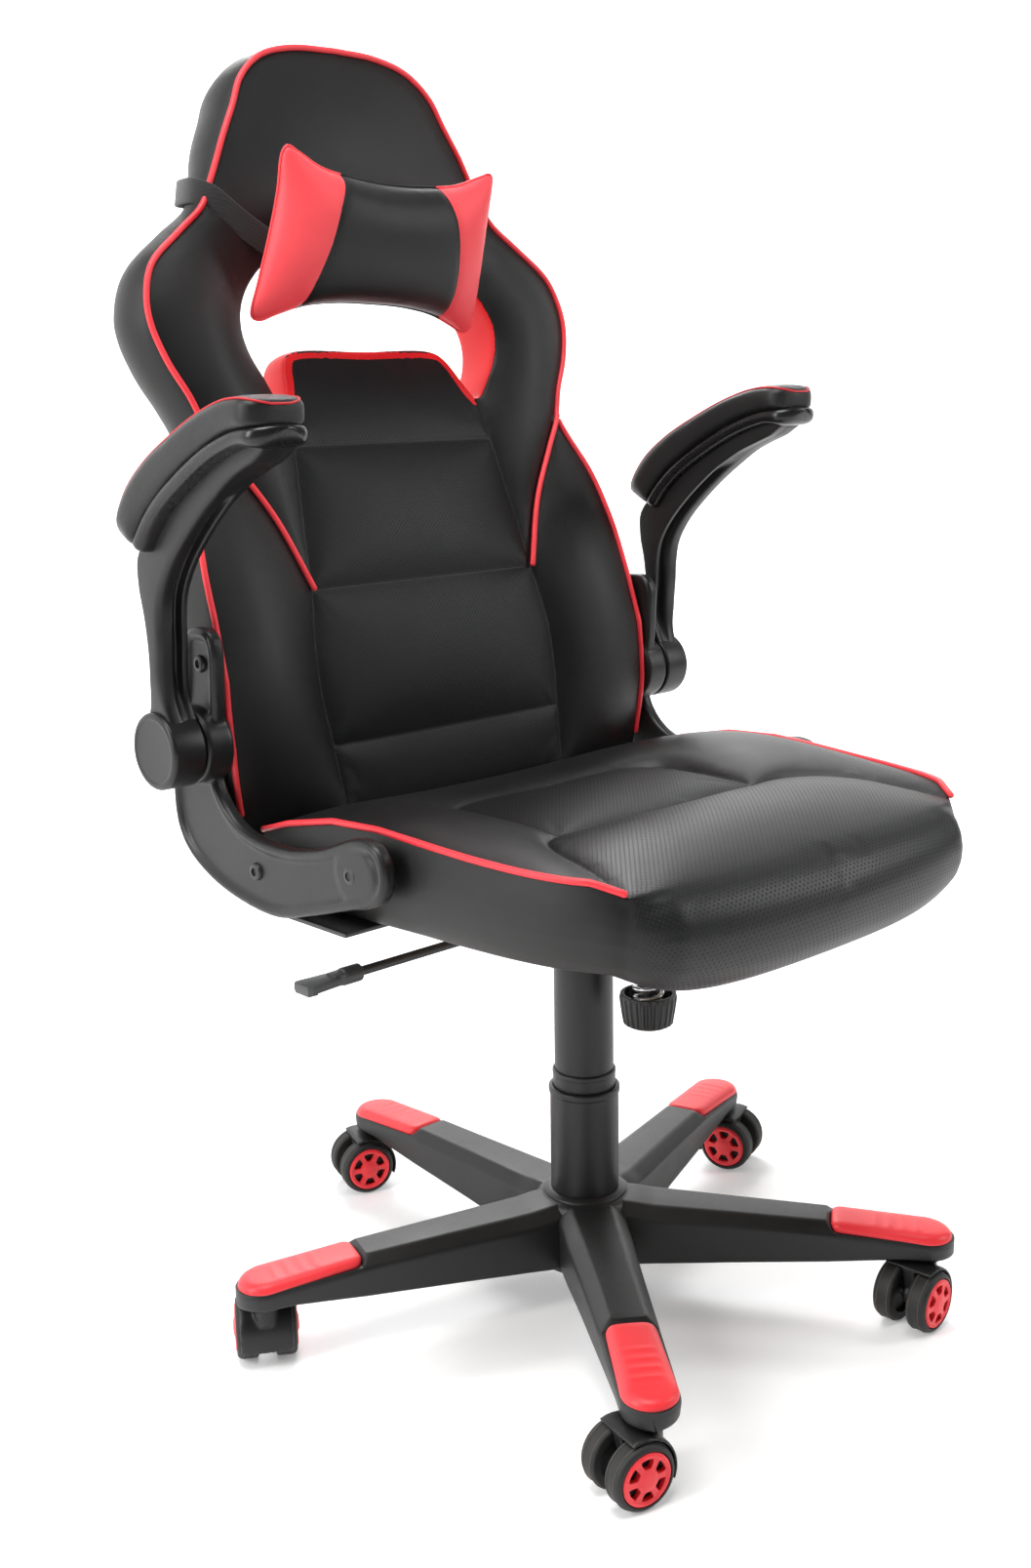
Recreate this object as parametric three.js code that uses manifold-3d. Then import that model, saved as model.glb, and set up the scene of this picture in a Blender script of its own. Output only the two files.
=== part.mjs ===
// Racing-style office chair: five-star caster base, gas lift with a telescopic cover, tilt
// mechanism, upholstered seat and backrest joined by two side brackets, flip-up arms and a
// strapped-on head pillow. Millimetres, +Z up, the sitter faces -Y and the floor is z = 0.
import * as THREE from "three";
import { mergeVertices } from "three/addons/utils/BufferGeometryUtils.js";
import Module from "manifold-3d";

const wasm = await Module();
wasm.setup();

// ---- Driving dimensions -------------------------------------------------------------------
const GAP = 0.3; // clearance between pieces that touch
const COLUMN_Y = -43; // gas lift axis, measured from the middle of the chair's depth
// Heights in this file count from a datum plane this far below the floor; the whole chair is lowered by it.
const FLOOR_LEVEL = 15;

const base = {
  armCount: 5,
  rearArmDeg: 89.4, // the arm that points backwards
  stemRadius: 306, // caster stems stand on this circle
  stemHoleDepth: 15,
  hubRadius: 44,
  hubBottom: 46,
  hubTop: 112,
  boreRadius: 25.3,
  capStart: 223,
  tipHalfWidth: 24,
  tipBottom: 76,
};
const caster = {
  wheelRadius: 27,
  wheelInner: 7.3, // half the gap between the twin wheels
  wheelOuter: 26,
  trail: 20,
  stemHole: 5.3,
  stemBore: 5,
  axleRadius: 4,
  hoodRadius: 28.7,
  hoodWall: 2.5,
  hoodHalf: 23,
  // direction in which each caster trails behind its stem, one per base arm
  trailDeg: [160, 56.4, 168, 184, 290],
};
const lift = {
  tubeRadius: 25,
  tubeBottom: 52,
  tubeTop: 262,
  cylinderRadius: 14,
  cylinderBottom: 124,
  cylinderTop: 366,
  rodRadius: 5,
  rodTop: 250,
  buttonRadius: 4,
};
const mechanism = {
  halfWidth: 42,
  wall: 3,
  front: -105,
  rear: 60,
  bottom: 352.5,
  top: 409,
  pinY: 10,
  pinZ: 400,
  pinRadius: 5,
  knobY: -78,
  leverY: 20,
  leverZ: 375.3,
  plateBottom: 413,
  plateTop: 417,
};
const seat = { bottom: 417.3, boardThickness: 12, top: 494, bevel: 20, rear: 133 };
const back = {
  lean: Math.atan(0.26), // backward lean from vertical
  originY: 169, // front edge of the side panels at originZ
  originZ: 525,
  front: -12, // padding stands this far in front of the side seam
  cushionRear: 42,
  boardRear: 54,
};
const arm = {
  pivotY: 183,
  pivotZ: 544,
  barrelRadius: 32.5,
  barrelInner: 255,
  barrelSplit: 281,
  barrelOuter: 313,
  pinRadius: 6,
  padInner: 270,
  padOuter: 330,
};

// ---- Materials ----------------------------------------------------------------------------
const finish = (color, roughness, metalness = 0) =>
  new THREE.MeshStandardMaterial({ color, roughness, metalness });
const nylon = finish(0x232325, 0.55);
const redPlastic = finish(0xf04048, 0.45);
const blackLeather = finish(0x1b1b1c, 0.42);
const redLeather = finish(0xf2434b, 0.45);
const rubber = finish(0x19191a, 0.7);
const steel = finish(0xa8a9ab, 0.35, 0.9);
const blackSteel = finish(0x1d1d1e, 0.5, 0.6);
const plywood = finish(0xa88458, 0.75);
const webbing = finish(0x161616, 0.85);
const greyPlastic = finish(0x4b4c4d, 0.5);

// ---- Solid helpers ------------------------------------------------------------------------
function toSolid(geometry) {
  const bare = new THREE.BufferGeometry();
  bare.setAttribute("position", geometry.getAttribute("position"));
  if (geometry.index) bare.setIndex(geometry.index);
  const merged = mergeVertices(bare, 1e-3);
  const mesh = new wasm.Mesh({
    numProp: 3,
    vertProperties: merged.attributes.position.array,
    triVerts: new Uint32Array(merged.index.array),
  });
  return new wasm.Manifold(mesh);
}

function toGeometry(solid) {
  const mesh = solid.getMesh();
  const geometry = new THREE.BufferGeometry();
  const position = new THREE.BufferAttribute(mesh.vertProperties, 3);
  geometry.setAttribute("position", position);
  geometry.setIndex(new THREE.BufferAttribute(mesh.triVerts, 1));
  return geometry;
}

function join(...geometries) {
  const solids = geometries.map(toSolid);
  return toGeometry(solids.reduce((whole, next) => whole.add(next)));
}

function cut(geometry, ...tools) {
  const solids = tools.map(toSolid);
  return toGeometry(solids.reduce((whole, tool) => whole.subtract(tool), toSolid(geometry)));
}

function box(x0, x1, y0, y1, z0, z1) {
  const geometry = new THREE.BoxGeometry(x1 - x0, y1 - y0, z1 - z0);
  return geometry.translate((x0 + x1) / 2, (y0 + y1) / 2, (z0 + z1) / 2);
}

// Turned shape about Z from [radius, z] points, listed from the bottom outside upwards.
function turned(points, segments = 20) {
  const profile = points.map(([r, z]) => new THREE.Vector2(r, z));
  return new THREE.LatheGeometry(profile, segments).rotateX(Math.PI / 2);
}

const rod = (radius, z0, z1, segments = 20) =>
  turned([[0, z0], [radius, z0], [radius, z1], [0, z1]], segments);
const ring = (inner, outer, z0, z1, segments = 20) =>
  turned([[inner, z0], [outer, z0], [outer, z1], [inner, z1], [inner, z0]], segments);
const rodX = (radius, x0, x1, y, z, segments = 20) =>
  rod(radius, x0, x1, segments).rotateY(Math.PI / 2).translate(0, y, z);
const rodY = (radius, y0, y1, x, z, segments = 20) =>
  rod(radius, -y1, -y0, segments).rotateX(Math.PI / 2).translate(x, 0, z);

// Closed outline through [a, b] points; smooth outlines are sampled from a closed spline.
function outline(points, samples = 0) {
  const corners = points.map(([a, b]) => new THREE.Vector3(a, b, 0));
  const curve = new THREE.CatmullRomCurve3(corners, true, "centripetal");
  const ringPoints = samples ? curve.getPoints(samples).slice(0, -1) : corners;
  return new THREE.Shape(ringPoints.map((p) => new THREE.Vector2(p.x, p.y)));
}

// Mirrored closed outline from the points on its +x side, listed bottom to top.
function mirrored(half) {
  const left = half.filter(([x]) => x > 0).map(([x, y]) => [-x, y]);
  return [...half, ...left.reverse()];
}

// Extrudes from depth0 to depth1 along the shape's normal, with rounded rims inside the outline.
function extruded(shape, depth0, depth1, bevel = 0, bevelSegments = 2) {
  const geometry = new THREE.ExtrudeGeometry(shape, {
    depth: depth1 - depth0 - 2 * bevel,
    curveSegments: 6,
    bevelEnabled: bevel > 0,
    bevelThickness: bevel,
    bevelSize: bevel,
    bevelOffset: -bevel,
    bevelSegments,
  });
  return geometry.translate(0, 0, depth0 + bevel);
}

// Side-view outlines are drawn in (y, z) and extruded from x0 to x1.
function sideExtruded(shape, x0, x1, bevel = 0, bevelSegments = 2) {
  const geometry = extruded(shape, x0, x1, bevel, bevelSegments);
  const axes = new THREE.Matrix4().makeBasis(
    new THREE.Vector3(0, 1, 0),
    new THREE.Vector3(0, 0, 1),
    new THREE.Vector3(1, 0, 0),
  );
  return geometry.applyMatrix4(axes);
}

// Straight-sided loft along X through four-cornered sections of a channel arm.
function taperedArm(sections) {
  const rings = sections.map(({ x, top, bottom, zTop, zBottom }) => [
    [x, -bottom, zBottom],
    [x, bottom, zBottom],
    [x, top, zTop],
    [x, -top, zTop],
  ]);
  const indices = [];
  for (let s = 0; s + 1 < rings.length; s++) {
    for (let k = 0; k < 4; k++) {
      const a = s * 4 + k;
      const b = s * 4 + ((k + 1) % 4);
      indices.push(a, b + 4, b, a, a + 4, b + 4);
    }
  }
  const last = (rings.length - 1) * 4;
  indices.push(0, 1, 2, 0, 2, 3, last, last + 2, last + 1, last, last + 3, last + 2);
  const geometry = new THREE.BufferGeometry();
  const position = new THREE.Float32BufferAttribute(rings.flat(2), 3);
  geometry.setAttribute("position", position);
  geometry.setIndex(indices.reverse());
  return geometry;
}

const chair = new THREE.Group();
chair.position.set(0, COLUMN_Y, -FLOOR_LEVEL);

function place(name, geometry, material, parent = chair) {
  const mesh = new THREE.Mesh(geometry, material);
  mesh.name = name;
  parent.add(mesh);
  return mesh;
}

// ---- Five-star base -----------------------------------------------------------------------
const degrees = Math.PI / 180;
const armAngles = [...Array(base.armCount).keys()].map(
  (i) => (base.rearArmDeg + (i * 360) / base.armCount) * degrees,
);

function baseArm() {
  const inner = taperedArm([
    { x: 28, top: 22, bottom: 27, zTop: 109, zBottom: 54 },
    { x: base.capStart, top: 22, bottom: 25, zTop: 105.5, zBottom: 69 },
  ]);
  const outer = taperedArm([
    { x: base.capStart - 4, top: 22.5, bottom: 25, zTop: 98, zBottom: 69 },
    { x: base.stemRadius, top: 23, bottom: 24, zTop: 93.5, zBottom: base.tipBottom },
  ]);
  const tip = rod(base.tipHalfWidth, base.tipBottom, 92).translate(base.stemRadius, 0, 0);
  return join(inner, outer, tip);
}

function starBase() {
  const { hubRadius, hubBottom, hubTop, boreRadius } = base;
  const hub = turned([
    [0, hubBottom],
    [hubRadius - 3, hubBottom],
    [hubRadius, hubBottom + 6],
    [hubRadius, hubTop - 10],
    [hubRadius - 8, hubTop],
    [0, hubTop],
  ]);
  const arms = armAngles.map((angle) => baseArm().rotateZ(angle));
  // Each stem hole has a counterbore for the stem's collar.
  const holeTop = base.tipBottom + base.stemHoleDepth;
  const holeProfile = [[0, 60], [9, 60], [9, base.tipBottom], [caster.stemHole, base.tipBottom],
    [caster.stemHole, holeTop], [0, holeTop]];
  const stemHoles = armAngles.map((angle) =>
    turned(holeProfile, 12).translate(base.stemRadius, 0, 0).rotateZ(angle),
  );
  const bore = rod(boreRadius, hubBottom - 5, hubTop + 5, 24);
  return cut(join(hub, ...arms), bore, ...stemHoles);
}
place("star_base", starBase(), nylon);

// Soft-edged foot cap over the end of each arm: straight inner edge, round outer end.
function armCap() {
  const { capStart, stemRadius, tipHalfWidth } = base;
  const outer = tipHalfWidth - 1.5;
  const inner = tipHalfWidth - 3.5;
  const corner = 8;
  const start = capStart + GAP;
  const plan = new THREE.Shape();
  plan.moveTo(start + corner, inner);
  plan.absarc(start + corner, inner - corner, corner, Math.PI / 2, Math.PI, false);
  plan.absarc(start + corner, corner - inner, corner, Math.PI, 1.5 * Math.PI, false);
  plan.absarc(stemRadius, 0, outer, -Math.PI / 2, Math.PI / 2, false);
  plan.lineTo(start + corner, inner);
  const slope = Math.atan2(4.5, stemRadius - capStart);
  return extruded(plan, 0, 7, 2, 1)
    .translate(-capStart, 0, 0)
    .rotateY(slope)
    .translate(capStart, 0, 98.4);
}
armAngles.forEach((angle, i) => {
  place(`arm_cap_${i + 1}`, armCap(), redPlastic).rotation.z = angle;
});

// ---- Twin-wheel casters: x runs from the stem towards the axle ----------------------------
const axleHeight = FLOOR_LEVEL + caster.wheelRadius;

function casterBody() {
  const { trail, wheelInner, hoodRadius, hoodWall, hoodHalf } = caster;
  const hoodOutline = new THREE.Shape();
  const from = 70 * degrees;
  const to = 202 * degrees;
  hoodOutline.absarc(trail, axleHeight, hoodRadius + hoodWall, from, to, false);
  hoodOutline.absarc(trail, axleHeight, hoodRadius, to, from, true);
  const webOutline = new THREE.Shape();
  webOutline.absarc(trail, axleHeight, hoodRadius + 2, 80 * degrees, to, false);
  webOutline.absarc(trail, axleHeight, 9, to, 440 * degrees, false);
  const upright = new THREE.Matrix4().makeRotationX(Math.PI / 2);
  const half = wheelInner - 0.8;
  const hood = extruded(hoodOutline, -hoodHalf, hoodHalf).applyMatrix4(upright);
  const web = extruded(webOutline, -half, half).applyMatrix4(upright);
  const boss = rod(10.5, 60, 72, 12);
  const wheelRoom = rodY(hoodRadius, -30, 30, trail, axleHeight, 20);
  const shell = join(hood, cut(boss, wheelRoom), web);
  const stemHole = rod(caster.stemHole, 48, 80, 12);
  const axleHole = rodY(caster.axleRadius + GAP, -10, 10, trail, axleHeight, 12);
  return cut(shell, stemHole, axleHole);
}

function casterStem() {
  const { stemBore } = caster;
  const collar = [[stemBore, 72.3], [8, 72.3], [8, 74.7], [stemBore, 74.7]];
  return turned([[0, 50], [stemBore, 50], ...collar, [stemBore, 90], [0, 90]], 12);
}

function casterWheel(side) {
  const { wheelRadius, wheelInner, wheelOuter, axleRadius } = caster;
  const bore = axleRadius + GAP;
  const profile = [
    [bore, wheelInner],
    [wheelRadius - 3, wheelInner],
    [wheelRadius, wheelInner + 3],
    [wheelRadius, wheelOuter - 2.5],
    [wheelRadius - 2.5, wheelOuter],
    [bore, wheelOuter - 1],
    [bore, wheelInner],
  ];
  return turned(profile, 20).rotateX((-side * Math.PI) / 2);
}

armAngles.forEach((angle, i) => {
  const { trail, wheelOuter, axleRadius } = caster;
  const swivel = new THREE.Group();
  const { stemRadius } = base;
  swivel.position.set(stemRadius * Math.cos(angle), stemRadius * Math.sin(angle), 0);
  swivel.rotation.z = caster.trailDeg[i] * degrees;
  chair.add(swivel);
  const number = i + 1;
  const axleHalf = wheelOuter - 2;
  place(`caster_body_${number}`, casterBody(), nylon, swivel);
  place(`caster_stem_${number}`, casterStem(), steel, swivel);
  const axle = rodY(axleRadius, -axleHalf, axleHalf, 0, 0, 12);
  place(`caster_axle_${number}`, axle, steel, swivel).position.set(trail, 0, axleHeight);
  for (const [label, side] of [["right", 1], ["left", -1]]) {
    const wheel = place(`wheel_${number}_${label}`, casterWheel(side), rubber, swivel);
    wheel.position.set(trail, 0, axleHeight);
  }
});

// ---- Gas lift and its telescopic cover ----------------------------------------------------
const { tubeRadius, tubeBottom, tubeTop, cylinderRadius, cylinderBottom, cylinderTop } = lift;
const tubeProfile = [
  [8, tubeBottom],
  [tubeRadius, tubeBottom],
  [tubeRadius, tubeTop],
  [cylinderRadius + GAP, tubeTop],
  [cylinderRadius + GAP, tubeTop - 30],
  [22, tubeTop - 34],
  [22, tubeBottom + 3],
  [8, tubeBottom + 3],
  [8, tubeBottom],
];
place("column_outer_tube", turned(tubeProfile, 24), blackSteel);

const rodProfile = [
  [0, 47.5],
  [10, 47.5],
  [10, tubeBottom - GAP],
  [lift.rodRadius, tubeBottom - GAP],
  [lift.rodRadius, tubeBottom + 3 + GAP],
  [12, tubeBottom + 3 + GAP],
  [12, tubeBottom + 7],
  [lift.rodRadius, tubeBottom + 7],
  [lift.rodRadius, lift.rodTop],
  [0, lift.rodTop],
];
place("piston_rod", turned(rodProfile, 16), steel);

const rodBore = rod(lift.rodRadius + GAP, cylinderBottom - 5, 325, 16);
const buttonBore = rod(lift.buttonRadius + GAP, 355, cylinderTop + 5, 16);
const cylinderBlank = rod(cylinderRadius, cylinderBottom, cylinderTop);
place("gas_cylinder", cut(cylinderBlank, rodBore, buttonBore), blackSteel);
place("release_button", rod(lift.buttonRadius, 361, 371, 16), steel);

place("cover_lower", ring(28.7, 31, base.hubTop + GAP, 215, 24), nylon);
place("cover_middle", ring(27, 28.3, 171, 231, 24), nylon);
place("cover_upper", ring(25.4, 26.6, 185, 344, 24), nylon);

// ---- Tilt mechanism -----------------------------------------------------------------------
function tiltHousing() {
  const { halfWidth, wall, front, rear, bottom, top, pinY, pinZ, pinRadius } = mechanism;
  const wallOutline = new THREE.Shape();
  wallOutline.moveTo(front, bottom);
  wallOutline.lineTo(rear, bottom);
  wallOutline.lineTo(rear, top - 17);
  wallOutline.lineTo(pinY + 8, top);
  wallOutline.lineTo(pinY - 12, top);
  wallOutline.lineTo(front, top - 22);
  const shell = cut(
    sideExtruded(wallOutline, -halfWidth, halfWidth),
    box(wall - halfWidth, halfWidth - wall, front + wall, rear - wall, bottom + 4, top + 5),
  );
  const socket = rod(18.5, 345, 364);
  const slot = box(-6.3, 6.3, mechanism.knobY - 19, mechanism.knobY + 6.5, bottom - 5, bottom + 8);
  return cut(
    join(shell, socket),
    rod(cylinderRadius + GAP, 340, 375),
    slot,
    rodX(pinRadius + GAP, -60, 60, pinY, pinZ),
    rodX(8 + GAP, -60, 0, mechanism.leverY, mechanism.leverZ),
  );
}
place("tilt_housing", tiltHousing(), blackSteel);

function seatPlate() {
  const { plateBottom, plateTop, halfWidth, pinY, pinZ, pinRadius } = mechanism;
  const plate = box(-95, 95, -110, 110, plateBottom, plateTop);
  const ears = [-1, 1].map((side) => {
    const near = side * (halfWidth + 2);
    const far = side * (halfWidth + 5);
    return box(Math.min(near, far), Math.max(near, far), -8, 28, 390, plateTop - 1);
  });
  return cut(join(plate, ...ears), rodX(pinRadius + GAP, -60, 60, pinY, pinZ));
}
place("seat_plate", seatPlate(), blackSteel);
const pinEnd = mechanism.halfWidth + 8;
const tiltPin = rodX(mechanism.pinRadius, -pinEnd, pinEnd, mechanism.pinY, mechanism.pinZ, 16);
place("tilt_pin", tiltPin, steel);

const knobProfile = [
  [0, 292],
  [19, 292],
  [21, 294],
  [25, 322],
  [20.5, 322],
  [18, 299],
  [5, 299],
  [5, 412.7],
  [0, 412.7],
];
const knob = place("tension_knob", turned(knobProfile), nylon);
knob.position.y = mechanism.knobY;

// Compression spring: a round wire wound as a helix between the knob's cup and the housing.
function tensionSpring() {
  const turns = 5;
  const wireRadius = 2.2;
  const coilRadius = 12;
  const bottom = 299.3 + wireRadius;
  const height = mechanism.bottom - GAP - wireRadius - bottom;
  const points = [];
  for (let step = 0; step <= turns * 12; step++) {
    const angle = (step / 12) * 2 * Math.PI;
    const z = bottom + (height * step) / (turns * 12);
    points.push(new THREE.Vector3(coilRadius * Math.cos(angle), coilRadius * Math.sin(angle), z));
  }
  const wire = new THREE.Shape();
  wire.absarc(0, 0, wireRadius, 0, 2 * Math.PI, false);
  return new THREE.ExtrudeGeometry(wire, {
    steps: turns * 12,
    curveSegments: 3,
    bevelEnabled: false,
    extrudePath: new THREE.CatmullRomCurve3(points),
  });
}
place("tension_spring", tensionSpring(), steel).position.y = mechanism.knobY;

const { leverY, leverZ } = mechanism;
const bush = cut(rodX(8, -50, -14, leverY, leverZ), rodX(6, -60, 0, leverY, leverZ));
place("lever_bush", bush, nylon);
place("lever_rod", rodX(4, -251, 14, leverY, leverZ, 16), blackSteel);
const paddleOutline = outline([[-240, -8], [-250, -11], [-290, -13], [-294, 0], [-290, 13], [-250, 11],
  [-240, 8]]);
const paddle = extruded(paddleOutline, -6.5, 6.5, 1.5, 1).translate(0, leverY, leverZ);
place("lever_handle", cut(paddle, rodX(4 + GAP, -252, -230, leverY, leverZ, 16)), greyPlastic);

// ---- Seat ---------------------------------------------------------------------------------
const seatHalf = [[0, -293], [110, -291], [180, -278], [216, -246], [232, -180], [241, -100],
  [243, -20], [241, 60], [232, 116], [206, 131], [150, seat.rear], [0, seat.rear]];
const boardHalf = [[0, -235], [170, -230], [190, -210], [205, 90], [190, 115], [0, 118]];
const boardTop = seat.bottom + seat.boardThickness;
const seatBoard = extruded(outline(mirrored(boardHalf)), seat.bottom, boardTop);
const boardPocket = extruded(
  outline(mirrored(boardHalf.map(([x, y]) => [x ? x + GAP : 0, y < 0 ? y - GAP : y + GAP]))),
  seat.bottom - 10,
  boardTop + GAP,
);
place("seat_board", seatBoard, plywood);
const seatBlank = extruded(outline(mirrored(seatHalf), 48), seat.bottom, seat.top, seat.bevel, 3);
place("seat_cushion", cut(seatBlank, boardPocket), blackLeather);

// ---- Backrest: drawn flat in (x, height along the lean), then leaned back -----------------
const alongLean = (z) => (z - back.originZ) / Math.cos(back.lean);
const leaned = new THREE.Group();
leaned.position.set(0, back.originY, back.originZ);
leaned.rotation.x = Math.PI / 2 - back.lean;
chair.add(leaned);

const backHalf = [[0, 452], [150, 454], [205, 462], [237, 490], [248, 535], [252, 590], [251, 640],
  [248, 692], [240, 743], [226, 790], [220, 820], [232, 855], [242, 895], [236, 928], [205, 962],
  [172, 988], [163, 1008], [145, 1045], [130, 1076], [112, 1106], [78, 1126], [0, 1132]];
const windowHalf = [[0, 866], [90, 866], [118, 838], [138, 858], [139, 885], [128, 915],
  [104, 944], [68, 958], [0, 962]];
const flat = (points) => mirrored(points.map(([x, z]) => [x, alongLean(z)]));

function backLayer(depth0, depth1, inset, bevel) {
  const shape = outline(flat(backHalf.map(([x, z]) => [x ? x - inset : 0, z])), 56);
  const grown = windowHalf.map(([x, z]) => [x ? x + inset : 0, z]);
  shape.holes.push(outline(flat(grown), 26));
  return extruded(shape, depth0, depth1, bevel, 2);
}
// The group's z axis points forwards after leaning, so depths behind the seam are negative.
place("back_cushion", backLayer(-back.cushionRear, -back.front, 0, 10), blackLeather, leaned);
const boardDepths = [-back.boardRear, -back.cushionRear - GAP];
place("back_board", backLayer(...boardDepths, 3, 0), plywood, leaned);

// ---- Head pillow and its strap ------------------------------------------------------------
const pillowHalf = [[0, -50], [60, -54], [112, -74], [116, 0], [121, 72], [60, 52], [0, 48]];
const pillow = extruded(outline(mirrored(pillowHalf), 32), -8, 40, 5, 1);
const pillowMesh = place("head_pillow", pillow, redLeather);
pillowMesh.rotation.x = Math.PI / 2 + 16.4 * degrees;
pillowMesh.position.set(0, 250, 958);

const strapHalf = [[0, 266], [120, 266], [164, 271], [180, 290], [178, 345], [160, 366], [0, 372]];
const strapShape = outline(mirrored(strapHalf));
const strapThickness = { side: 2.5, face: 2 };
const strapInner = strapHalf.map(([x, y]) => [
  x ? x - strapThickness.side : 0,
  y + (y < 300 ? strapThickness.face : -strapThickness.face),
]);
strapShape.holes.push(outline(mirrored(strapInner)));
place("pillow_strap", extruded(strapShape, 993, 1015), webbing);

// ---- Side brackets, arms, pads and pivot pins ---------------------------------------------
const bracketOutline = outline([[-58, 470], [-50, 455], [-19, 441], [40, 424], [84, 413], [139, 418],
  [196, 437], [222, 462], [228, 500], [214, 560], [199, 590], [197, 632], [190, 640], [162, 640],
  [155, 632], [156, 560], [164, 514], [147, 492], [113, 477], [67, 475], [20, 484], [-22, 499],
  [-50, 492]]);
const postOutline = outline([[162, 540], [166, 580], [164, 640], [163, 666], [158, 680], [147, 697],
  [125, 718], [100, 739], [79, 754], [59, 766], [39, 775], [24, 781], [10, 789], [2, 795], [1, 800],
  [35, 797], [88, 779], [147, 742], [190, 699], [193, 680], [188, 654], [185, 630], [185, 604],
  [188, 580], [203, 558], [206, 540]]);
const padOutline = outline([[2, 803], [35, 798], [88, 781], [147, 744], [191, 702], [208, 703],
  [213, 716], [203, 734], [162, 768], [98, 807], [38, 826], [12, 827], [2, 818]]);

function sideBracket() {
  const { barrelRadius, barrelInner, barrelSplit, pivotY, pivotZ, pinRadius } = arm;
  const plate = sideExtruded(bracketOutline, 258, 271, 3, 1);
  const flange = box(120, 262, 0, 100, mechanism.plateBottom, mechanism.plateTop);
  const barrel = rodX(barrelRadius, barrelInner, barrelSplit, pivotY, pivotZ);
  const boss = rodX(8, 252.5, 262, 178, 612, 16);
  const hole = rodX(pinRadius + GAP, 240, 300, pivotY, pivotZ);
  return cut(join(plate, flange, barrel, boss), hole);
}

function armPost() {
  const { barrelRadius, barrelSplit, barrelOuter, pivotY, pivotZ, pinRadius } = arm;
  const start = barrelSplit + 2 * GAP;
  const post = sideExtruded(postOutline, start, barrelOuter, 2, 1);
  const barrel = rodX(barrelRadius, start, barrelOuter, pivotY, pivotZ);
  const hole = rodX(pinRadius + GAP, 270, barrelOuter - 4, pivotY, pivotZ);
  return cut(join(post, barrel), hole);
}

const armPad = () => sideExtruded(padOutline, arm.padInner, arm.padOuter, 7, 2);
const pivotPin = () =>
  rodX(arm.pinRadius, arm.barrelInner + 4, arm.barrelOuter - 5, arm.pivotY, arm.pivotZ, 16);

// The left-hand set is the right-hand set's mirror image.
function mirroredX(geometry) {
  const copy = (geometry.index ? geometry.toNonIndexed() : geometry.clone()).scale(-1, 1, 1);
  const { array } = copy.attributes.position;
  for (let i = 0; i < array.length; i += 9) {
    for (let k = 0; k < 3; k++) {
      const first = array[i + 3 + k];
      array[i + 3 + k] = array[i + 6 + k];
      array[i + 6 + k] = first;
    }
  }
  return copy;
}

for (const [side, shape] of [["left", (g) => g], ["right", mirroredX]]) {
  place(`side_bracket_${side}`, shape(sideBracket()), nylon);
  place(`arm_post_${side}`, shape(armPost()), nylon);
  place(`arm_pad_${side}`, shape(armPad()), blackLeather);
  place(`arm_pivot_pin_${side}`, shape(pivotPin()), steel);
}

export default chair;
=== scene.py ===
"""Racing-style office chair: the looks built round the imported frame.

Shapes are written in millimetres round the gas lift's axis (x to the sitter's left, the sitter faces -Y;
heights count from the part's drawing datum below the floor) and turned into metres by metres().
"""
import math

import bmesh
import bpy
import numpy as np
from mathutils import Matrix, Vector
from mathutils.geometry import delaunay_2d_cdt


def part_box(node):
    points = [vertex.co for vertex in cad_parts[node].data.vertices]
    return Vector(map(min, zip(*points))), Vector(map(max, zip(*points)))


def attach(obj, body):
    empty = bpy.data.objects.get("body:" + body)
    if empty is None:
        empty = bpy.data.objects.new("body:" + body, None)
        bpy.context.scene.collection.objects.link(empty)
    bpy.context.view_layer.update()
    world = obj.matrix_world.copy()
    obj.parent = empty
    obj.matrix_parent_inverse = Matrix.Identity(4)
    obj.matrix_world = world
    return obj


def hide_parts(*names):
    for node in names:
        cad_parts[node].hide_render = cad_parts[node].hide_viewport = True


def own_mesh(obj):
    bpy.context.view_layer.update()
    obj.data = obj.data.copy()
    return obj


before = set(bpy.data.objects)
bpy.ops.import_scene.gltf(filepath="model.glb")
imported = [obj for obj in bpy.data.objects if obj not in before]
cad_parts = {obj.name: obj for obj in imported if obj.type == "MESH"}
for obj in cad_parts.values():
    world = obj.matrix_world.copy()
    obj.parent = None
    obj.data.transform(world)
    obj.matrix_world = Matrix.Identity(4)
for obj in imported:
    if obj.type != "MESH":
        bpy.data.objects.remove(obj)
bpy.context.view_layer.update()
MM = 0.001


def middle(node):
    low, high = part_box(node)
    return (low + high) / 2


TUBE_MIDDLE = 157.0  # mm, drawing height of the middle of the column's outer tube
COLUMN = np.array(middle("column_outer_tube")) - (0.0, 0.0, TUBE_MIDDLE * MM)


def metres(points):
    return np.asarray(points, float) * MM + COLUMN


def millimetres(point):
    return (np.asarray(point, float) - COLUMN) / MM


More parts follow.
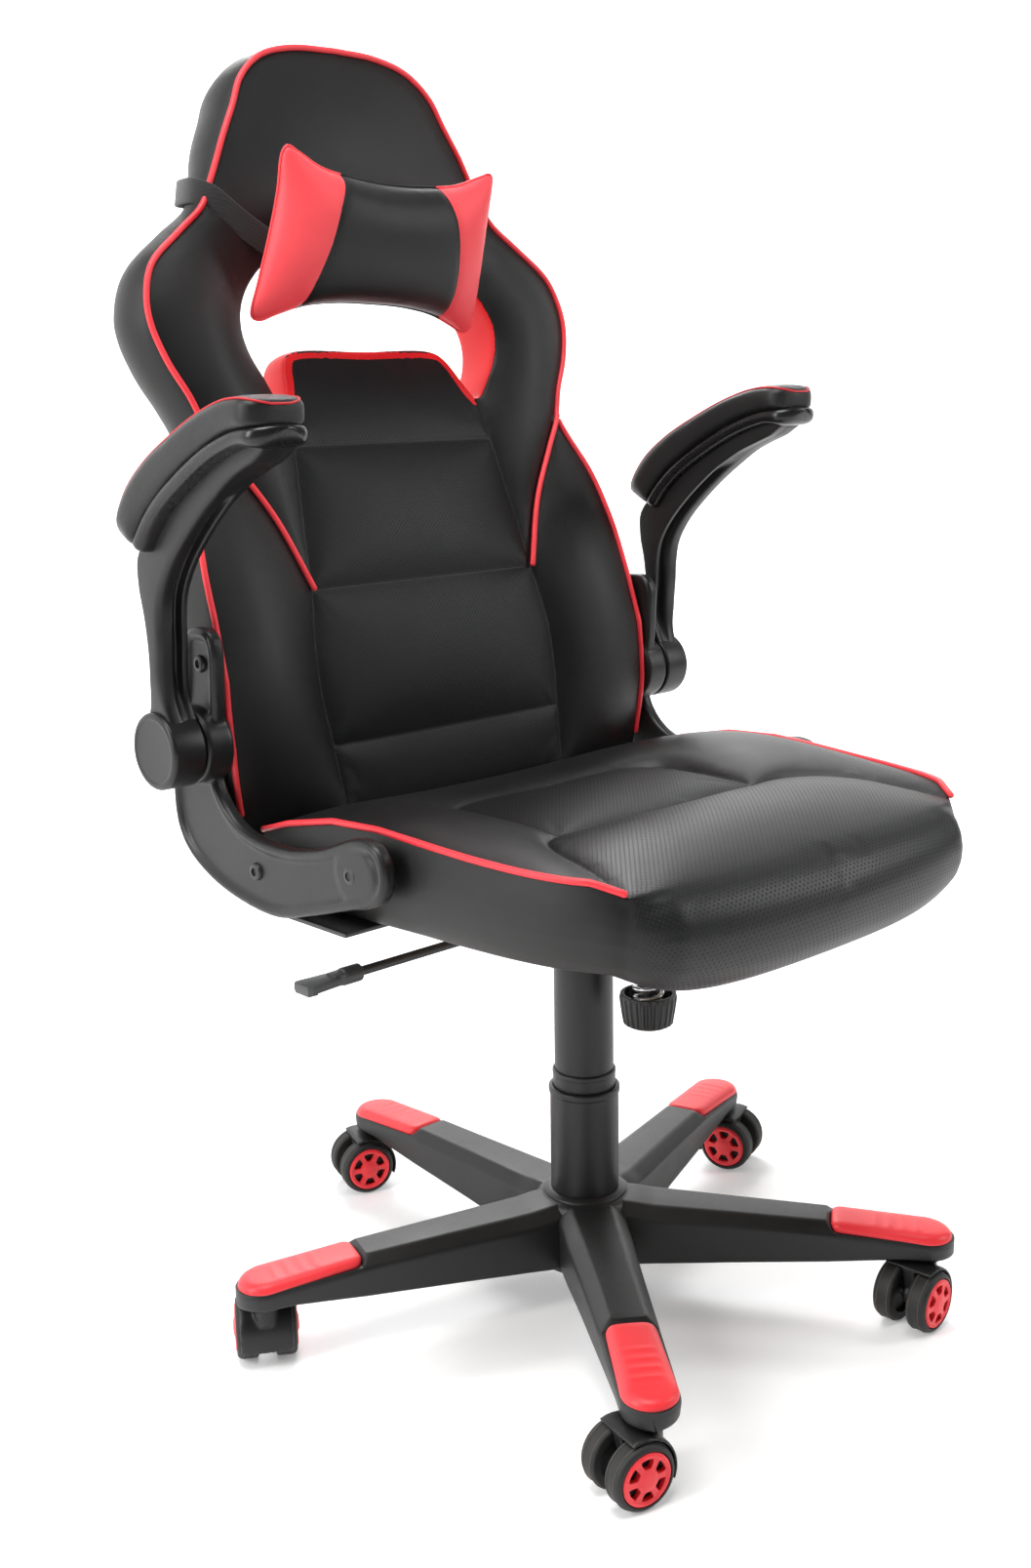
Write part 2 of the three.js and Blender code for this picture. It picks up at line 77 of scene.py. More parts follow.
# ---- Curves -------------------------------------------------------------------------------
def smooth_curve(points, closed=False, per_span=10):
    """Dense points on a centripetal Catmull-Rom curve."""
    p = np.asarray(points, float)
    if closed:
        p = np.vstack([p[-1], p, p[0], p[1]])
    else:
        p = np.vstack([2 * p[0] - p[1], p, 2 * p[-1] - p[-2]])
    out = []
    for i in range(1, len(p) - 2):
        a, b, c, d = p[i - 1 : i + 3]
        t1 = np.linalg.norm(b - a) ** 0.5
        t2 = t1 + np.linalg.norm(c - b) ** 0.5
        t3 = t2 + np.linalg.norm(d - c) ** 0.5
        t = np.linspace(t1, t2, per_span, endpoint=False)[:, None]
        ab = (t1 - t) / t1 * a + t / t1 * b
        bc = (t2 - t) / (t2 - t1) * b + (t - t1) / (t2 - t1) * c
        cd = (t3 - t) / (t3 - t2) * c + (t - t2) / (t3 - t2) * d
        abc = (t2 - t) / t2 * ab + t / t2 * bc
        bcd = (t3 - t) / (t3 - t1) * bc + (t - t1) / (t3 - t1) * cd
        out.append((t2 - t) / (t2 - t1) * abc + (t - t1) / (t2 - t1) * bcd)
    if not closed:
        out.append(p[-2][None, :])
    return np.vstack(out)


def evenly(points, spacing, closed=False):
    """The polyline's points moved to even steps of about the spacing."""
    p = np.asarray(points, float)
    if closed:
        p = np.vstack([p, p[0]])
    run = np.concatenate([[0], np.cumsum(np.linalg.norm(np.diff(p, axis=0), axis=1))])
    count = max(2, int(round(run[-1] / spacing)))
    at = np.linspace(0, run[-1], count + 1)
    even = np.stack([np.interp(at, run, p[:, k]) for k in range(p.shape[1])], 1)
    return even[:-1] if closed else even


def curve(points, spacing, closed=False):
    return evenly(smooth_curve(points, closed), spacing, closed)


def mirrored(half):
    """A closed outline from its +x side, listed from one end of the middle line to the other."""
    half = np.asarray(half, float)
    other = half[half[:, 0] > 0][::-1] * [-1, 1]
    return np.vstack([half, other])


def table(at, rows):
    """Linear interpolation in a short table of (place, value) rows."""
    rows = np.asarray(rows, float)
    return np.interp(at, rows[:, 0], rows[:, 1])


def ease(t):
    t = np.clip(t, 0, 1)
    return t * t * (3 - 2 * t)


def distance_to(points, lines):
    """Distance of each 2-D point to the nearest of the polylines."""
    best = np.full(len(points), 1e9)
    for line in lines:
        for a, b in zip(line[:-1], line[1:]):
            ab = b - a
            t = np.clip(((points - a) @ ab) / max(ab @ ab, 1e-12), 0, 1)
            best = np.minimum(best, np.linalg.norm(points - a - t[:, None] * ab, axis=1))
    return best


def rim_distance(points, loop):
    """Distance of each 2-D point to a closed outline."""
    return distance_to(points, [np.vstack([loop, loop[:1]])])


def inside(points, polygon):
    x, y = points[:, 0], points[:, 1]
    hit = np.zeros(len(points), bool)
    for (x0, y0), (x1, y1) in zip(polygon, np.roll(polygon, -1, axis=0)):
        crosses = (y0 > y) != (y1 > y)
        if y1 != y0:
            hit ^= crosses & (x < (x1 - x0) * (y - y0) / (y1 - y0) + x0)
    return hit


def normals_2d(points, closed=True):
    """Unit normals to the right of a polyline's direction, which is outward for a counter-clockwise loop."""
    if closed:
        d = np.roll(points, -1, axis=0) - np.roll(points, 1, axis=0)
    else:
        d = np.gradient(points, axis=0)
    n = np.stack([d[:, 1], -d[:, 0]], 1)
    return n / np.maximum(np.linalg.norm(n, axis=1, keepdims=True), 1e-9)


# ---- Meshes -------------------------------------------------------------------------------
SHARP = 38


def add_mesh(name, points, faces, materials, face_material=None, sharp=SHARP):
    """A mesh object from millimetre points, with outward normals, smooth except at sharp edges."""
    mesh = bpy.data.meshes.new(name)
    mesh.from_pydata([tuple(p) for p in metres(points)], [], [tuple(map(int, f)) for f in faces])
    for material in materials:
        mesh.materials.append(material)
    if face_material is not None:
        mesh.polygons.foreach_set("material_index", np.asarray(face_material, np.int32))
    work = bmesh.new()
    work.from_mesh(mesh)
    bmesh.ops.recalc_face_normals(work, faces=work.faces)
    work.to_mesh(mesh)
    work.free()
    mesh.shade_smooth()
    if sharp:
        mesh.set_sharp_from_angle(angle=math.radians(sharp))
    made = bpy.data.objects.new(name, mesh)
    bpy.context.scene.collection.objects.link(made)
    return made


def join_parts(parts):
    """Points and faces of several (points, faces) parts as one."""
    points, faces, start = [], [], 0
    for p, f in parts:
        points.append(np.asarray(p, float))
        faces += [tuple(i + start for i in face) for face in f]
        start += len(p)
    return np.vstack(points), faces


def rings(loops, closed_ends=True):
    """Points and faces of a skin through loops of equal length, with flat ends."""
    n = len(loops[0])
    faces = []
    for r in range(len(loops) - 1):
        for k in range(n):
            a, b = r * n + k, r * n + (k + 1) % n
            faces.append((a, b, b + n, a + n))
    if closed_ends:
        faces.append(tuple(range(n - 1, -1, -1)))
        faces.append(tuple(range((len(loops) - 1) * n, len(loops) * n)))
    return np.vstack(loops), faces


def turned(profile, segments=64):
    """A closed turned shape about Z from (radius, z) points that start and end on the axis."""
    turn = np.arange(segments) * 2 * math.pi / segments
    loops = []
    for r, z in profile:
        r = max(r, 0.02)
        loops.append(np.stack([r * np.cos(turn), r * np.sin(turn), np.full(segments, z)], 1))
    return rings(loops)


def turned_ring(profile, segments=64):
    """A turned shape whose profile is a closed loop away from the axis."""
    turn = np.arange(segments) * 2 * math.pi / segments
    n = len(profile)
    points = np.array([[r * math.cos(a), r * math.sin(a), z] for a in turn for r, z in profile])
    faces = []
    for s in range(segments):
        for k in range(n):
            a, b = s * n + k, s * n + (k + 1) % n
            c, d = (s + 1) % segments * n + (k + 1) % n, (s + 1) % segments * n + k
            faces.append((a, b, c, d))
    return points, faces


def rounded(profile, radius, steps=4):
    """An open (radius, z) profile with each corner between its ends turned into a short arc."""
    p = [np.asarray(q, float) for q in profile]
    out = [p[0]]
    for a, b, c in zip(p[:-2], p[1:-1], p[2:]):
        reach = min(radius, 0.45 * np.linalg.norm(a - b), 0.45 * np.linalg.norm(c - b))
        start = b + (a - b) / max(np.linalg.norm(a - b), 1e-9) * reach
        end = b + (c - b) / max(np.linalg.norm(c - b), 1e-9) * reach
        for t in np.linspace(0, 1, steps + 1):
            out.append((1 - t) ** 2 * start + 2 * t * (1 - t) * b + t * t * end)
    out.append(p[-1])
    return np.array(out)


def rounded_loop(corners, radius, steps=4):
    """A closed 2-D outline with each corner turned into a short arc; always corners x (steps + 1) points."""
    p = np.asarray(corners, float)
    radius = np.broadcast_to(radius, len(p))
    out = []
    for a, b, c, r in zip(np.roll(p, 1, axis=0), p, np.roll(p, -1, axis=0), radius):
        back, ahead = np.linalg.norm(a - b), np.linalg.norm(c - b)
        reach = min(r, 0.46 * back, 0.46 * ahead)
        start = b + (a - b) / max(back, 1e-9) * reach
        end = b + (c - b) / max(ahead, 1e-9) * reach
        for t in np.linspace(0, 1, steps + 1):
            out.append((1 - t) ** 2 * start + 2 * t * (1 - t) * b + t * t * end)
    return np.array(out)


TUBE_DOME = ((0.75, 0.5), (0.45, 0.85))  # rings of a round end: distance out and size, both in radii


def tube(path, radius, sides=12, closed=False):
    """A round tube along a 3-D path, with domed ends; radius may be one number per point."""
    p = np.asarray(path, float)
    radius = np.full(len(p), float(radius)) if np.isscalar(radius) else np.asarray(radius, float)
    if closed:
        direction = np.roll(p, -1, axis=0) - np.roll(p, 1, axis=0)
    else:
        direction = np.gradient(p, axis=0)
    direction /= np.linalg.norm(direction, axis=1, keepdims=True)
    normal = np.cross(direction[0], [0.12, 0.31, 0.94])
    normal /= np.linalg.norm(normal)
    normals = []
    for d in direction:
        normal = normal - d * (normal @ d)
        normal /= np.linalg.norm(normal)
        normals.append(normal)
    turn = np.arange(sides) * 2 * math.pi / sides
    loops = []
    for q, d, n, r in zip(p, direction, normals, radius):
        side = np.cross(d, n)
        loops.append(q + r * (np.cos(turn)[:, None] * n + np.sin(turn)[:, None] * side))
    if closed:
        points, faces = rings(loops + [loops[0]], closed_ends=False)
        count = len(loops) * sides
        faces = [tuple(i % count for i in f) for f in faces]
        return points[:count], faces
    first, last = [], []
    for out, share in TUBE_DOME:
        first.append(p[0] - direction[0] * radius[0] * out + (loops[0] - p[0]) * share)
        last.insert(0, p[-1] + direction[-1] * radius[-1] * out + (loops[-1] - p[-1]) * share)
    return rings(first + loops + last)


def rod_between(a, b, radius, sides=20, bevel=0.6):
    """A straight round bar with slightly rounded ends."""
    a, b = np.asarray(a, float), np.asarray(b, float)
    length = np.linalg.norm(b - a)
    profile = rounded([(0, 0), (radius, 0), (radius, length), (0, length)], bevel, 3)
    points, faces = turned(profile, sides)
    turn = Vector((0, 0, 1)).rotation_difference(Vector((b - a) / length)).to_matrix()
    return points @ np.array(turn).T + a, faces


def slab(outline, low, high, bevel=2.0, steps=3, to_3d=None):
    """A flat piece from a counter-clockwise outline, with rounded rims; to_3d places its 3-D points."""
    outline = np.asarray(outline, float)
    inward = -normals_2d(outline)
    angles = [s / steps * math.pi / 2 for s in range(steps + 1)]
    loops = []
    for level, sign, arc in ((low, 1, angles), (high, -1, angles[::-1])):
        for angle in arc:
            inset = bevel * (1 - math.sin(angle))
            height = level + sign * bevel * (1 - math.cos(angle))
            loops.append(np.column_stack([outline + inward * inset, np.full(len(outline), height)]))
    points, faces = rings(loops)
    return (to_3d(points) if to_3d else points), faces


def side_view(points, side=1):
    """(y, z, |x|) points into the chair's frame, on the +x or -x side."""
    return np.stack([points[:, 2] * side, points[:, 0], points[:, 1]], 1)


def turned_by(part, angle):
    """A part turned about the column's axis."""
    points, faces = part
    return points @ np.array(Matrix.Rotation(angle, 3, "Z")).T, faces


def across_chair(part, side, start, y, z):
    """A turned part laid with its axis along x, from |x| = start outward, on the +x or -x side."""
    points, faces = part
    return np.stack([side * (start + points[:, 2]), y + points[:, 0], z + points[:, 1]], 1), faces


def moved(part, offset):
    return part[0] + np.asarray(offset, float), part[1]


def melt(obj, voxel, smooth):
    """Overlapping closed solids into one moulded skin with soft inner and outer corners."""
    remesh = obj.modifiers.new("remesh", "REMESH")
    remesh.mode = "VOXEL"
    remesh.voxel_size = voxel * MM
    remesh.use_smooth_shade = True
    blur = obj.modifiers.new("soften", "SMOOTH")
    blur.iterations = smooth
    blur.factor = 0.5


def finish_piece(obj, body, replaces=()):
    """Sets the body a piece rides, and the frame nodes it stands for."""
    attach(obj, body)
    if replaces:
        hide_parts(*replaces)


# ---- Materials ----------------------------------------------------------------------------
class Nodes:
    """Short calls for building one procedural material."""

    def __init__(self, name, roughness, metallic=0.0, sheen=0.0, specular=0.5):
        self.material = bpy.data.materials.new(name)
        self.material.use_nodes = True
        self.tree = self.material.node_tree
        self.shader = self.tree.nodes["Principled BSDF"]
        self.set("Roughness", roughness)
        self.set("Metallic", metallic)
        self.set("Sheen Weight", sheen)
        self.set("IOR", 1.5)
        self.set("Specular IOR Level", specular)
        self.place = self.add("ShaderNodeTexCoord").outputs["Object"]

    def set(self, socket, value):
        self.shader.inputs[socket].default_value = value

    def add(self, kind, **values):
        node = self.tree.nodes.new(kind)
        for key, value in values.items():
            if key in node.inputs.keys():
                node.inputs[key].default_value = value
            else:
                setattr(node, key, value)
        return node

    def link(self, source, target):
        self.tree.links.new(source, target)

    def noise(self, scale, detail=2.0, roughness=0.5, vector=None):
        node = self.add("ShaderNodeTexNoise", Scale=scale, Detail=detail, Roughness=roughness)
        self.link(vector or self.place, node.inputs["Vector"])
        return node.outputs["Fac"]

    def cells(self, scale):
        """Distance to the nearest edge between irregular cells."""
        node = self.add("ShaderNodeTexVoronoi", feature="DISTANCE_TO_EDGE", Scale=scale, Randomness=1.0)
        self.link(self.place, node.inputs["Vector"])
        return node.outputs["Distance"]

    def math(self, operation, a, b=0.0):
        node = self.add("ShaderNodeMath", operation=operation)
        for socket, value in zip(node.inputs, (a, b)):
            if isinstance(value, (int, float)):
                socket.default_value = value
            else:
                self.link(value, socket)
        return node.outputs[0]

    def remap(self, value, low, high, to_low=0.0, to_high=1.0, smooth=False):
        node = self.add("ShaderNodeMapRange")
        if smooth:
            node.interpolation_type = "SMOOTHSTEP"
        sockets = (("From Min", low), ("From Max", high), ("To Min", to_low), ("To Max", to_high))
        for socket, number in sockets:
            node.inputs[socket].default_value = number
        self.link(value, node.inputs["Value"])
        return node.outputs["Result"]

    def blend(self, factor, a, b):
        node = self.add("ShaderNodeMix", data_type="RGBA")
        self.link(factor, node.inputs["Factor"])
        for socket, value in zip((node.inputs[6], node.inputs[7]), (a, b)):
            if isinstance(value, tuple):
                socket.default_value = (*value, 1.0)
            else:
                self.link(value, socket)
        return node.outputs[2]

    def colour(self, value):
        self.link(value, self.shader.inputs["Base Color"])

    def roughness(self, value):
        self.link(value, self.shader.inputs["Roughness"])

    def bumps(self, *layers):
        """Stacks (height, distance in mm, strength) layers."""
        normal = None
        for height, distance, strength in layers:
            node = self.add("ShaderNodeBump", Strength=strength, Distance=distance * MM)
            self.link(height, node.inputs["Height"])
            if normal:
                self.link(normal, node.inputs["Normal"])
            normal = node.outputs["Normal"]
        self.link(normal, self.shader.inputs["Normal"])


def grained(name, dark, light, roughness, grain=1500.0, grain_depth=0.10, wrinkle_depth=0.35):
    """Coated upholstery: pebbled grain, faint creases, and slightly uneven colour and gloss."""
    n = Nodes(name, roughness, specular=0.32)
    drift = n.noise(9.0, 3.0)
    n.colour(n.blend(n.remap(drift, 0.3, 0.7), dark, light))
    pebble = n.cells(grain)
    pebbles = n.remap(pebble, 0.0, 0.22, smooth=True)
    fine = n.noise(grain * 1.7, 2.0)
    creases = n.noise(55.0, 4.0, 0.55)
    n.roughness(n.math("ADD", n.remap(drift, 0.3, 0.7, roughness - 0.035, roughness + 0.035),
                       n.remap(pebbles, 0, 1, 0.05, -0.01)))
    n.bumps((creases, wrinkle_depth, 0.35), (pebbles, grain_depth, 0.45), (fine, grain_depth * 0.5, 0.25))
    return n.material


def perforated(name, dark, light, roughness, pitch=3.0, specular=0.3):
    """Coated upholstery with diagonal rows of small pricked holes, pitch millimetres apart."""
    n = Nodes(name, roughness, specular=specular)
    flat = n.add("ShaderNodeAttribute", attribute_name="flat").outputs["Vector"]
    drift = n.noise(9.0, 3.0)
    turned45 = n.add("ShaderNodeMapping")
    turned45.inputs["Rotation"].default_value = (0, 0, math.radians(45))
    turned45.inputs["Scale"].default_value = (1 / pitch, 1 / pitch, 0.0)
    n.link(flat, turned45.inputs["Vector"])
    split = n.add("ShaderNodeSeparateXYZ")
    n.link(turned45.outputs["Vector"], split.inputs["Vector"])
    squares = []
    for axis in ("X", "Y"):
        cell = n.math("SUBTRACT", n.math("FRACT", split.outputs[axis]), 0.5)
        squares.append(n.math("MULTIPLY", cell, cell))
    radius = n.math("SQRT", n.math("ADD", squares[0], squares[1]))
    hole = n.remap(radius, 0.13, 0.24, 1.0, 0.0, smooth=True)
    body = n.blend(n.remap(drift, 0.3, 0.7), dark, light)
    n.colour(n.blend(hole, body, (0.002, 0.002, 0.002)))
    fine = n.noise(2300.0, 2.0)
    creases = n.noise(40.0, 3.0, 0.5)
    n.roughness(n.math("ADD", n.remap(drift, 0.3, 0.7, roughness - 0.03, roughness + 0.03),
                       n.remap(hole, 0, 1, 0.0, 0.3)))
    n.bumps((creases, 0.25, 0.3), (n.math("SUBTRACT", 1.0, hole), 0.35, 0.5), (fine, 0.06, 0.3))
    return n.material


def moulded(name, dark, light, roughness, texture=0.05, scuffs=0.04):
    """Moulded plastic: fine eroded texture, soft colour drift and faint scuffs."""
    n = Nodes(name, roughness, specular=0.38)
    drift = n.noise(14.0, 3.0)
    n.colour(n.blend(n.remap(drift, 0.25, 0.75), dark, light))
    fine = n.noise(2600.0, 3.0, 0.6)
    marks = n.noise(160.0, 5.0, 0.7)
    n.roughness(n.math("ADD", n.remap(drift, 0.3, 0.7, roughness - scuffs, roughness + scuffs),
                       n.remap(marks, 0.45, 0.7, 0.0, scuffs)))
    n.bumps((fine, texture, 0.5))
    return n.material


def metal(name, dark, light, roughness, metallic=1.0, brushed=0.0):
    """Steel, bare or painted, with fine drawn lines and patchy gloss."""
    n = Nodes(name, roughness, metallic=metallic)
    drift = n.noise(40.0, 3.0)
    n.colour(n.blend(n.remap(drift, 0.3, 0.7), dark, light))
    stretch = n.add("ShaderNodeMapping")
    stretch.inputs["Scale"].default_value = (1.0, 1.0, 18.0) if brushed else (1.0, 1.0, 1.0)
    n.link(n.place, stretch.inputs["Vector"])
    lines = n.noise(900.0, 3.0, 0.6, stretch.outputs["Vector"])
    n.roughness(n.remap(lines, 0.3, 0.7, roughness - 0.05, roughness + 0.07))
    n.bumps((lines, 0.03, 0.4))
    return n.material


def woven(name, dark, light, roughness, threads):
    """Narrow woven or knitted cloth: crossed ribs of thread."""
    n = Nodes(name, roughness, sheen=0.3)
    split = n.add("ShaderNodeSeparateXYZ")
    n.link(n.place, split.inputs["Vector"])
    across = n.math("ADD", split.outputs["X"], split.outputs["Y"])
    wave_a = n.math("SINE", n.math("MULTIPLY", across, threads))
    wave_b = n.math("SINE", n.math("MULTIPLY", split.outputs["Z"], threads))
    weave = n.remap(n.math("MULTIPLY", wave_a, wave_b), -1, 1)
    fuzz = n.noise(3000.0, 3.0)
    n.colour(n.blend(n.math("MULTIPLY", weave, fuzz), dark, light))
    n.roughness(n.remap(fuzz, 0.3, 0.7, roughness - 0.05, roughness + 0.05))
    n.bumps((weave, 0.25, 0.6), (fuzz, 0.1, 0.4))
    return n.material


def wood(name):
    """Birch ply: long figure on the faces and thin dark glue lines on the edges."""
    n = Nodes(name, 0.62)
    stretch = n.add("ShaderNodeMapping")
    stretch.inputs["Scale"].default_value = (28.0, 3.0, 28.0)
    n.link(n.place, stretch.inputs["Vector"])
    figure = n.noise(1.6, 6.0, 0.6, stretch.outputs["Vector"])
    split = n.add("ShaderNodeSeparateXYZ")
    n.link(n.place, split.inputs["Vector"])
    plies = n.remap(n.math("SINE", n.math("MULTIPLY", split.outputs["Z"], 3200.0)), 0.6, 1.0, 0.0, 0.35)
    body = n.blend(n.remap(figure, 0.3, 0.7), (0.42, 0.27, 0.14), (0.62, 0.44, 0.26))
    n.colour(n.blend(plies, body, (0.2, 0.12, 0.06)))
    n.roughness(n.remap(figure, 0.3, 0.7, 0.55, 0.7))
    n.bumps((figure, 0.15, 0.4))
    return n.material


LEATHER = grained("black_leather", (0.0045, 0.0045, 0.0048), (0.0075, 0.0074, 0.0072), 0.37)
GUSSET = grained("side_leather", (0.0060, 0.0060, 0.0060), (0.0110, 0.0106, 0.0098), 0.42, wrinkle_depth=0.5)
PANEL = perforated("panel_leather", (0.0050, 0.0054, 0.0062), (0.0078, 0.0082, 0.0090), 0.46,
                   specular=0.22)
NOSE = perforated("front_leather", (0.0065, 0.0069, 0.0074), (0.0100, 0.0103, 0.0106), 0.42, pitch=3.4,
                  specular=0.34)
RED_LEATHER = grained("red_leather", (0.80, 0.050, 0.062), (0.90, 0.075, 0.088), 0.44, grain_depth=0.06)
LINING = grained("red_lining", (0.62, 0.006, 0.010), (0.76, 0.012, 0.016), 0.42, grain_depth=0.06)
PIPING = grained("piping", (0.70, 0.030, 0.042), (0.82, 0.050, 0.062), 0.36, grain=2600.0, grain_depth=0.04)
DARK_PIPING = grained("pad_piping", (0.42, 0.012, 0.018), (0.55, 0.020, 0.028), 0.45, grain=2600.0,
                      grain_depth=0.04)
PAD_LEATHER = grained("pad_leather", (0.0055, 0.0055, 0.0058), (0.0100, 0.0098, 0.0095), 0.33,
                      wrinkle_depth=0.9)
BASE_NYLON = moulded("base_nylon", (0.0075, 0.0076, 0.0078), (0.0120, 0.0121, 0.0123), 0.44)
CASTER_NYLON = moulded("caster_nylon", (0.0060, 0.0060, 0.0062), (0.0100, 0.0100, 0.0102), 0.42)
BLACK_NYLON = moulded("black_nylon", (0.0060, 0.0060, 0.0062), (0.0100, 0.0098, 0.0095), 0.40, texture=0.035)
GLOSS_NYLON = moulded("gloss_nylon", (0.0060, 0.0060, 0.0060), (0.0090, 0.0090, 0.0090), 0.27, texture=0.012)
GREY_PLASTIC = moulded("grey_plastic", (0.040, 0.041, 0.042), (0.060, 0.061, 0.062), 0.45)
RED_PLASTIC = moulded("red_plastic", (0.80, 0.030, 0.039), (0.88, 0.045, 0.055), 0.42,
                      texture=0.03)
TREAD = moulded("wheel_tread", (0.0110, 0.0110, 0.0112), (0.0190, 0.0180, 0.0172), 0.58, texture=0.08)
# Painted highlight: pale colour for the thin rings along the tyre tread's edges, where its shoulders catch
# the light.
TREAD_EDGE_HIGHLIGHT = moulded("tread_edge_highlight", (0.055, 0.045, 0.036), (0.105, 0.085, 0.066), 0.62, texture=0.08)
BRIGHT_STEEL = metal("bright_steel", (0.50, 0.50, 0.51), (0.62, 0.62, 0.63), 0.28, brushed=1.0)
BLACK_STEEL = metal("black_steel", (0.014, 0.014, 0.015), (0.022, 0.022, 0.023), 0.42, metallic=0.0)
PLYWOOD = wood("plywood")
WEBBING = woven("webbing", (0.004, 0.004, 0.004), (0.020, 0.020, 0.020), 0.85, 2400.0)


# ---- Padded bodies ------------------------------------------------------------------------
def triangulated(loops, seams, spacing, side_rows=()):
    """Triangles over the area inside the first loop and outside the others, with seams as mesh edges.

    Returns points, triangles, the point numbers of each loop and of each seam."""
    coords = [np.vstack(loops)]
    edges, loop_ids, start = [], [], 0
    for loop in loops:
        ids = list(range(start, start + len(loop)))
        edges += list(zip(ids, ids[1:] + ids[:1]))
        loop_ids.append(ids)
        start += len(loop)
    seam_ids = []
    for seam in seams:
        known = np.vstack(coords)
        ids, fresh = [], []
        for place, p in enumerate(seam):
            near = np.argmin(np.linalg.norm(known - p, axis=1))
            is_end = place in (0, len(seam) - 1)
            if np.linalg.norm(known[near] - p) < (0.75 if is_end else 0.3) * spacing:
                ids.append(int(near))
            else:
                ids.append(len(known) + len(fresh))
                fresh.append(p)
        if fresh:
            coords.append(np.array(fresh))
        edges += [(a, b) for a, b in zip(ids, ids[1:]) if a != b]
        seam_ids.append(ids)
    fixed = np.vstack(coords)
    for rows in side_rows:
        gaps = np.min(np.linalg.norm(rows[:, None] - fixed[None], axis=2), axis=1)
        far = rows[gaps > 0.8 * rows_gap(rows)]
        far = far[inside(far, loops[0])]
        for hole in loops[1:]:
            far = far[~inside(far, hole)]
        fixed = np.vstack([fixed, far])
    low, high = loops[0].min(0), loops[0].max(0)
    xs = np.arange(low[0], high[0], spacing)
    ys = np.arange(low[1], high[1], spacing * math.sqrt(3) / 2)
    grid = np.array([[x + (0.5 * spacing if r % 2 else 0), y] for r, y in enumerate(ys) for x in xs])
    grid = grid[inside(grid, loops[0])]
    for hole in loops[1:]:
        grid = grid[~inside(grid, hole)]
    near = np.concatenate([
        np.min(np.linalg.norm(part[:, None] - fixed[None], axis=2), axis=1)
        for part in np.array_split(grid, max(1, len(grid) // 500))
    ])
    grid = grid[near > 0.62 * spacing]
    everything = np.vstack([fixed, grid])
    found = delaunay_2d_cdt([Vector(p) for p in everything], edges, [], 0, 1e-4)
    points = np.array([tuple(v) for v in found[0]])
    number = {}
    for out, originals in enumerate(found[3]):
        for original in originals:
            number[original] = out
    triangles = np.array([f for f in found[2] if len(f) == 3])
    centres = points[triangles].mean(1)
    keep = inside(centres, loops[0])
    for hole in loops[1:]:
        keep &= ~inside(centres, hole)
    triangles = triangles[keep]
    corner = points[triangles]
    cross = np.cross(corner[:, 1] - corner[:, 0], corner[:, 2] - corner[:, 0])
    triangles[cross < 0] = triangles[cross < 0][:, ::-1]
    used = np.unique(triangles)
    renumber = -np.ones(len(points), int)
    renumber[used] = np.arange(len(used))
    loop_ids = [[renumber[number[i]] for i in ids] for ids in loop_ids]
    seam_ids = [[renumber[number[i]] for i in ids] for ids in seam_ids]
    return points[used], renumber[triangles], loop_ids, seam_ids


def rows_gap(rows):
    return float(np.median(np.linalg.norm(np.diff(rows, axis=0), axis=1))) * 0.35


def beside(line, gap, closed=False):
    """The two lines that run at the gap on either side of a line."""
    n = normals_2d(line, closed)
    return [line + n * gap, line - n * gap]


def stretched_skin(points, triangles, fixed, heights, push):
    """Heights of a skin held at the fixed points and pushed up by `push` (per mm) on each triangle."""
    corner = points[triangles]
    count = len(points)
    first, second, weight = [], [], []
    for k in range(3):
        a, b, c = corner[:, k], corner[:, (k + 1) % 3], corner[:, (k + 2) % 3]
        cot = ((b - a) * (c - a)).sum(1) / np.maximum(np.cross(b - a, c - a), 1e-6)
        first.append(triangles[:, (k + 1) % 3])
        second.append(triangles[:, (k + 2) % 3])
        weight.append(np.clip(cot / 2, 0.02, 5.0))
    i, j, w = map(np.concatenate, (first, second, weight))
    area = np.cross(corner[:, 1] - corner[:, 0], corner[:, 2] - corner[:, 0]) / 2
    load = np.zeros(count)
    for k in range(3):
        np.add.at(load, triangles[:, k], area / 3 * push)

    def pull(u):
        flow = w * (u[i] - u[j])
        return np.bincount(i, flow, count) - np.bincount(j, flow, count)

    free = np.ones(count, bool)
    free[fixed] = False
    level = np.zeros(count)
    level[fixed] = heights
    residual = np.where(free, load - pull(level), 0.0)
    direction, size = residual.copy(), residual @ residual
    for _ in range(1200):
        if size < 1e-7:
            break
        along = np.where(free, pull(direction), 0.0)
        step = size / (direction @ along)
        level += step * direction
        residual -= step * along
        new_size = residual @ residual
        direction = residual + new_size / size * direction
        size = new_size
    return level


def padded_shell(front, rear, triangles, loops, sides):
    """A closed shell: front and rear skins over the same triangles, joined round each loop by rows of quads.

    sides holds, for each loop, the list of rows of 3-D points between front and rear. Returns points, faces
    and each face's zone: 0 front, 1 rear, 2 and on the sides of each loop."""
    count = len(front)
    points = [front, rear]
    faces = [tuple(t) for t in triangles] + [tuple(t[::-1] + count) for t in triangles]
    zones = [0] * len(triangles) + [1] * len(triangles)
    start = 2 * count
    for place, (ids, rows) in enumerate(zip(loops, sides)):
        ids = np.asarray(ids)
        levels = [ids]
        for row in rows:
            points.append(row)
            levels.append(np.arange(start, start + len(row)))
            start += len(row)
        levels.append(ids + count)
        for upper, lower in zip(levels[:-1], levels[1:]):
            for k in range(len(ids)):
                m = (k + 1) % len(ids)
                faces.append((upper[k], upper[m], lower[m], lower[k]))
                zones.append(2 + place)
    return np.vstack(points), faces, np.array(zones)


def give_flat(obj, flat):
    """Stores each point's place on the unrolled cover, in mm, for patterns that follow the cloth."""
    attribute = obj.data.attributes.new("flat", "FLOAT_VECTOR", "POINT")
    attribute.data.foreach_set("vector", np.asarray(flat, np.float32).ravel())


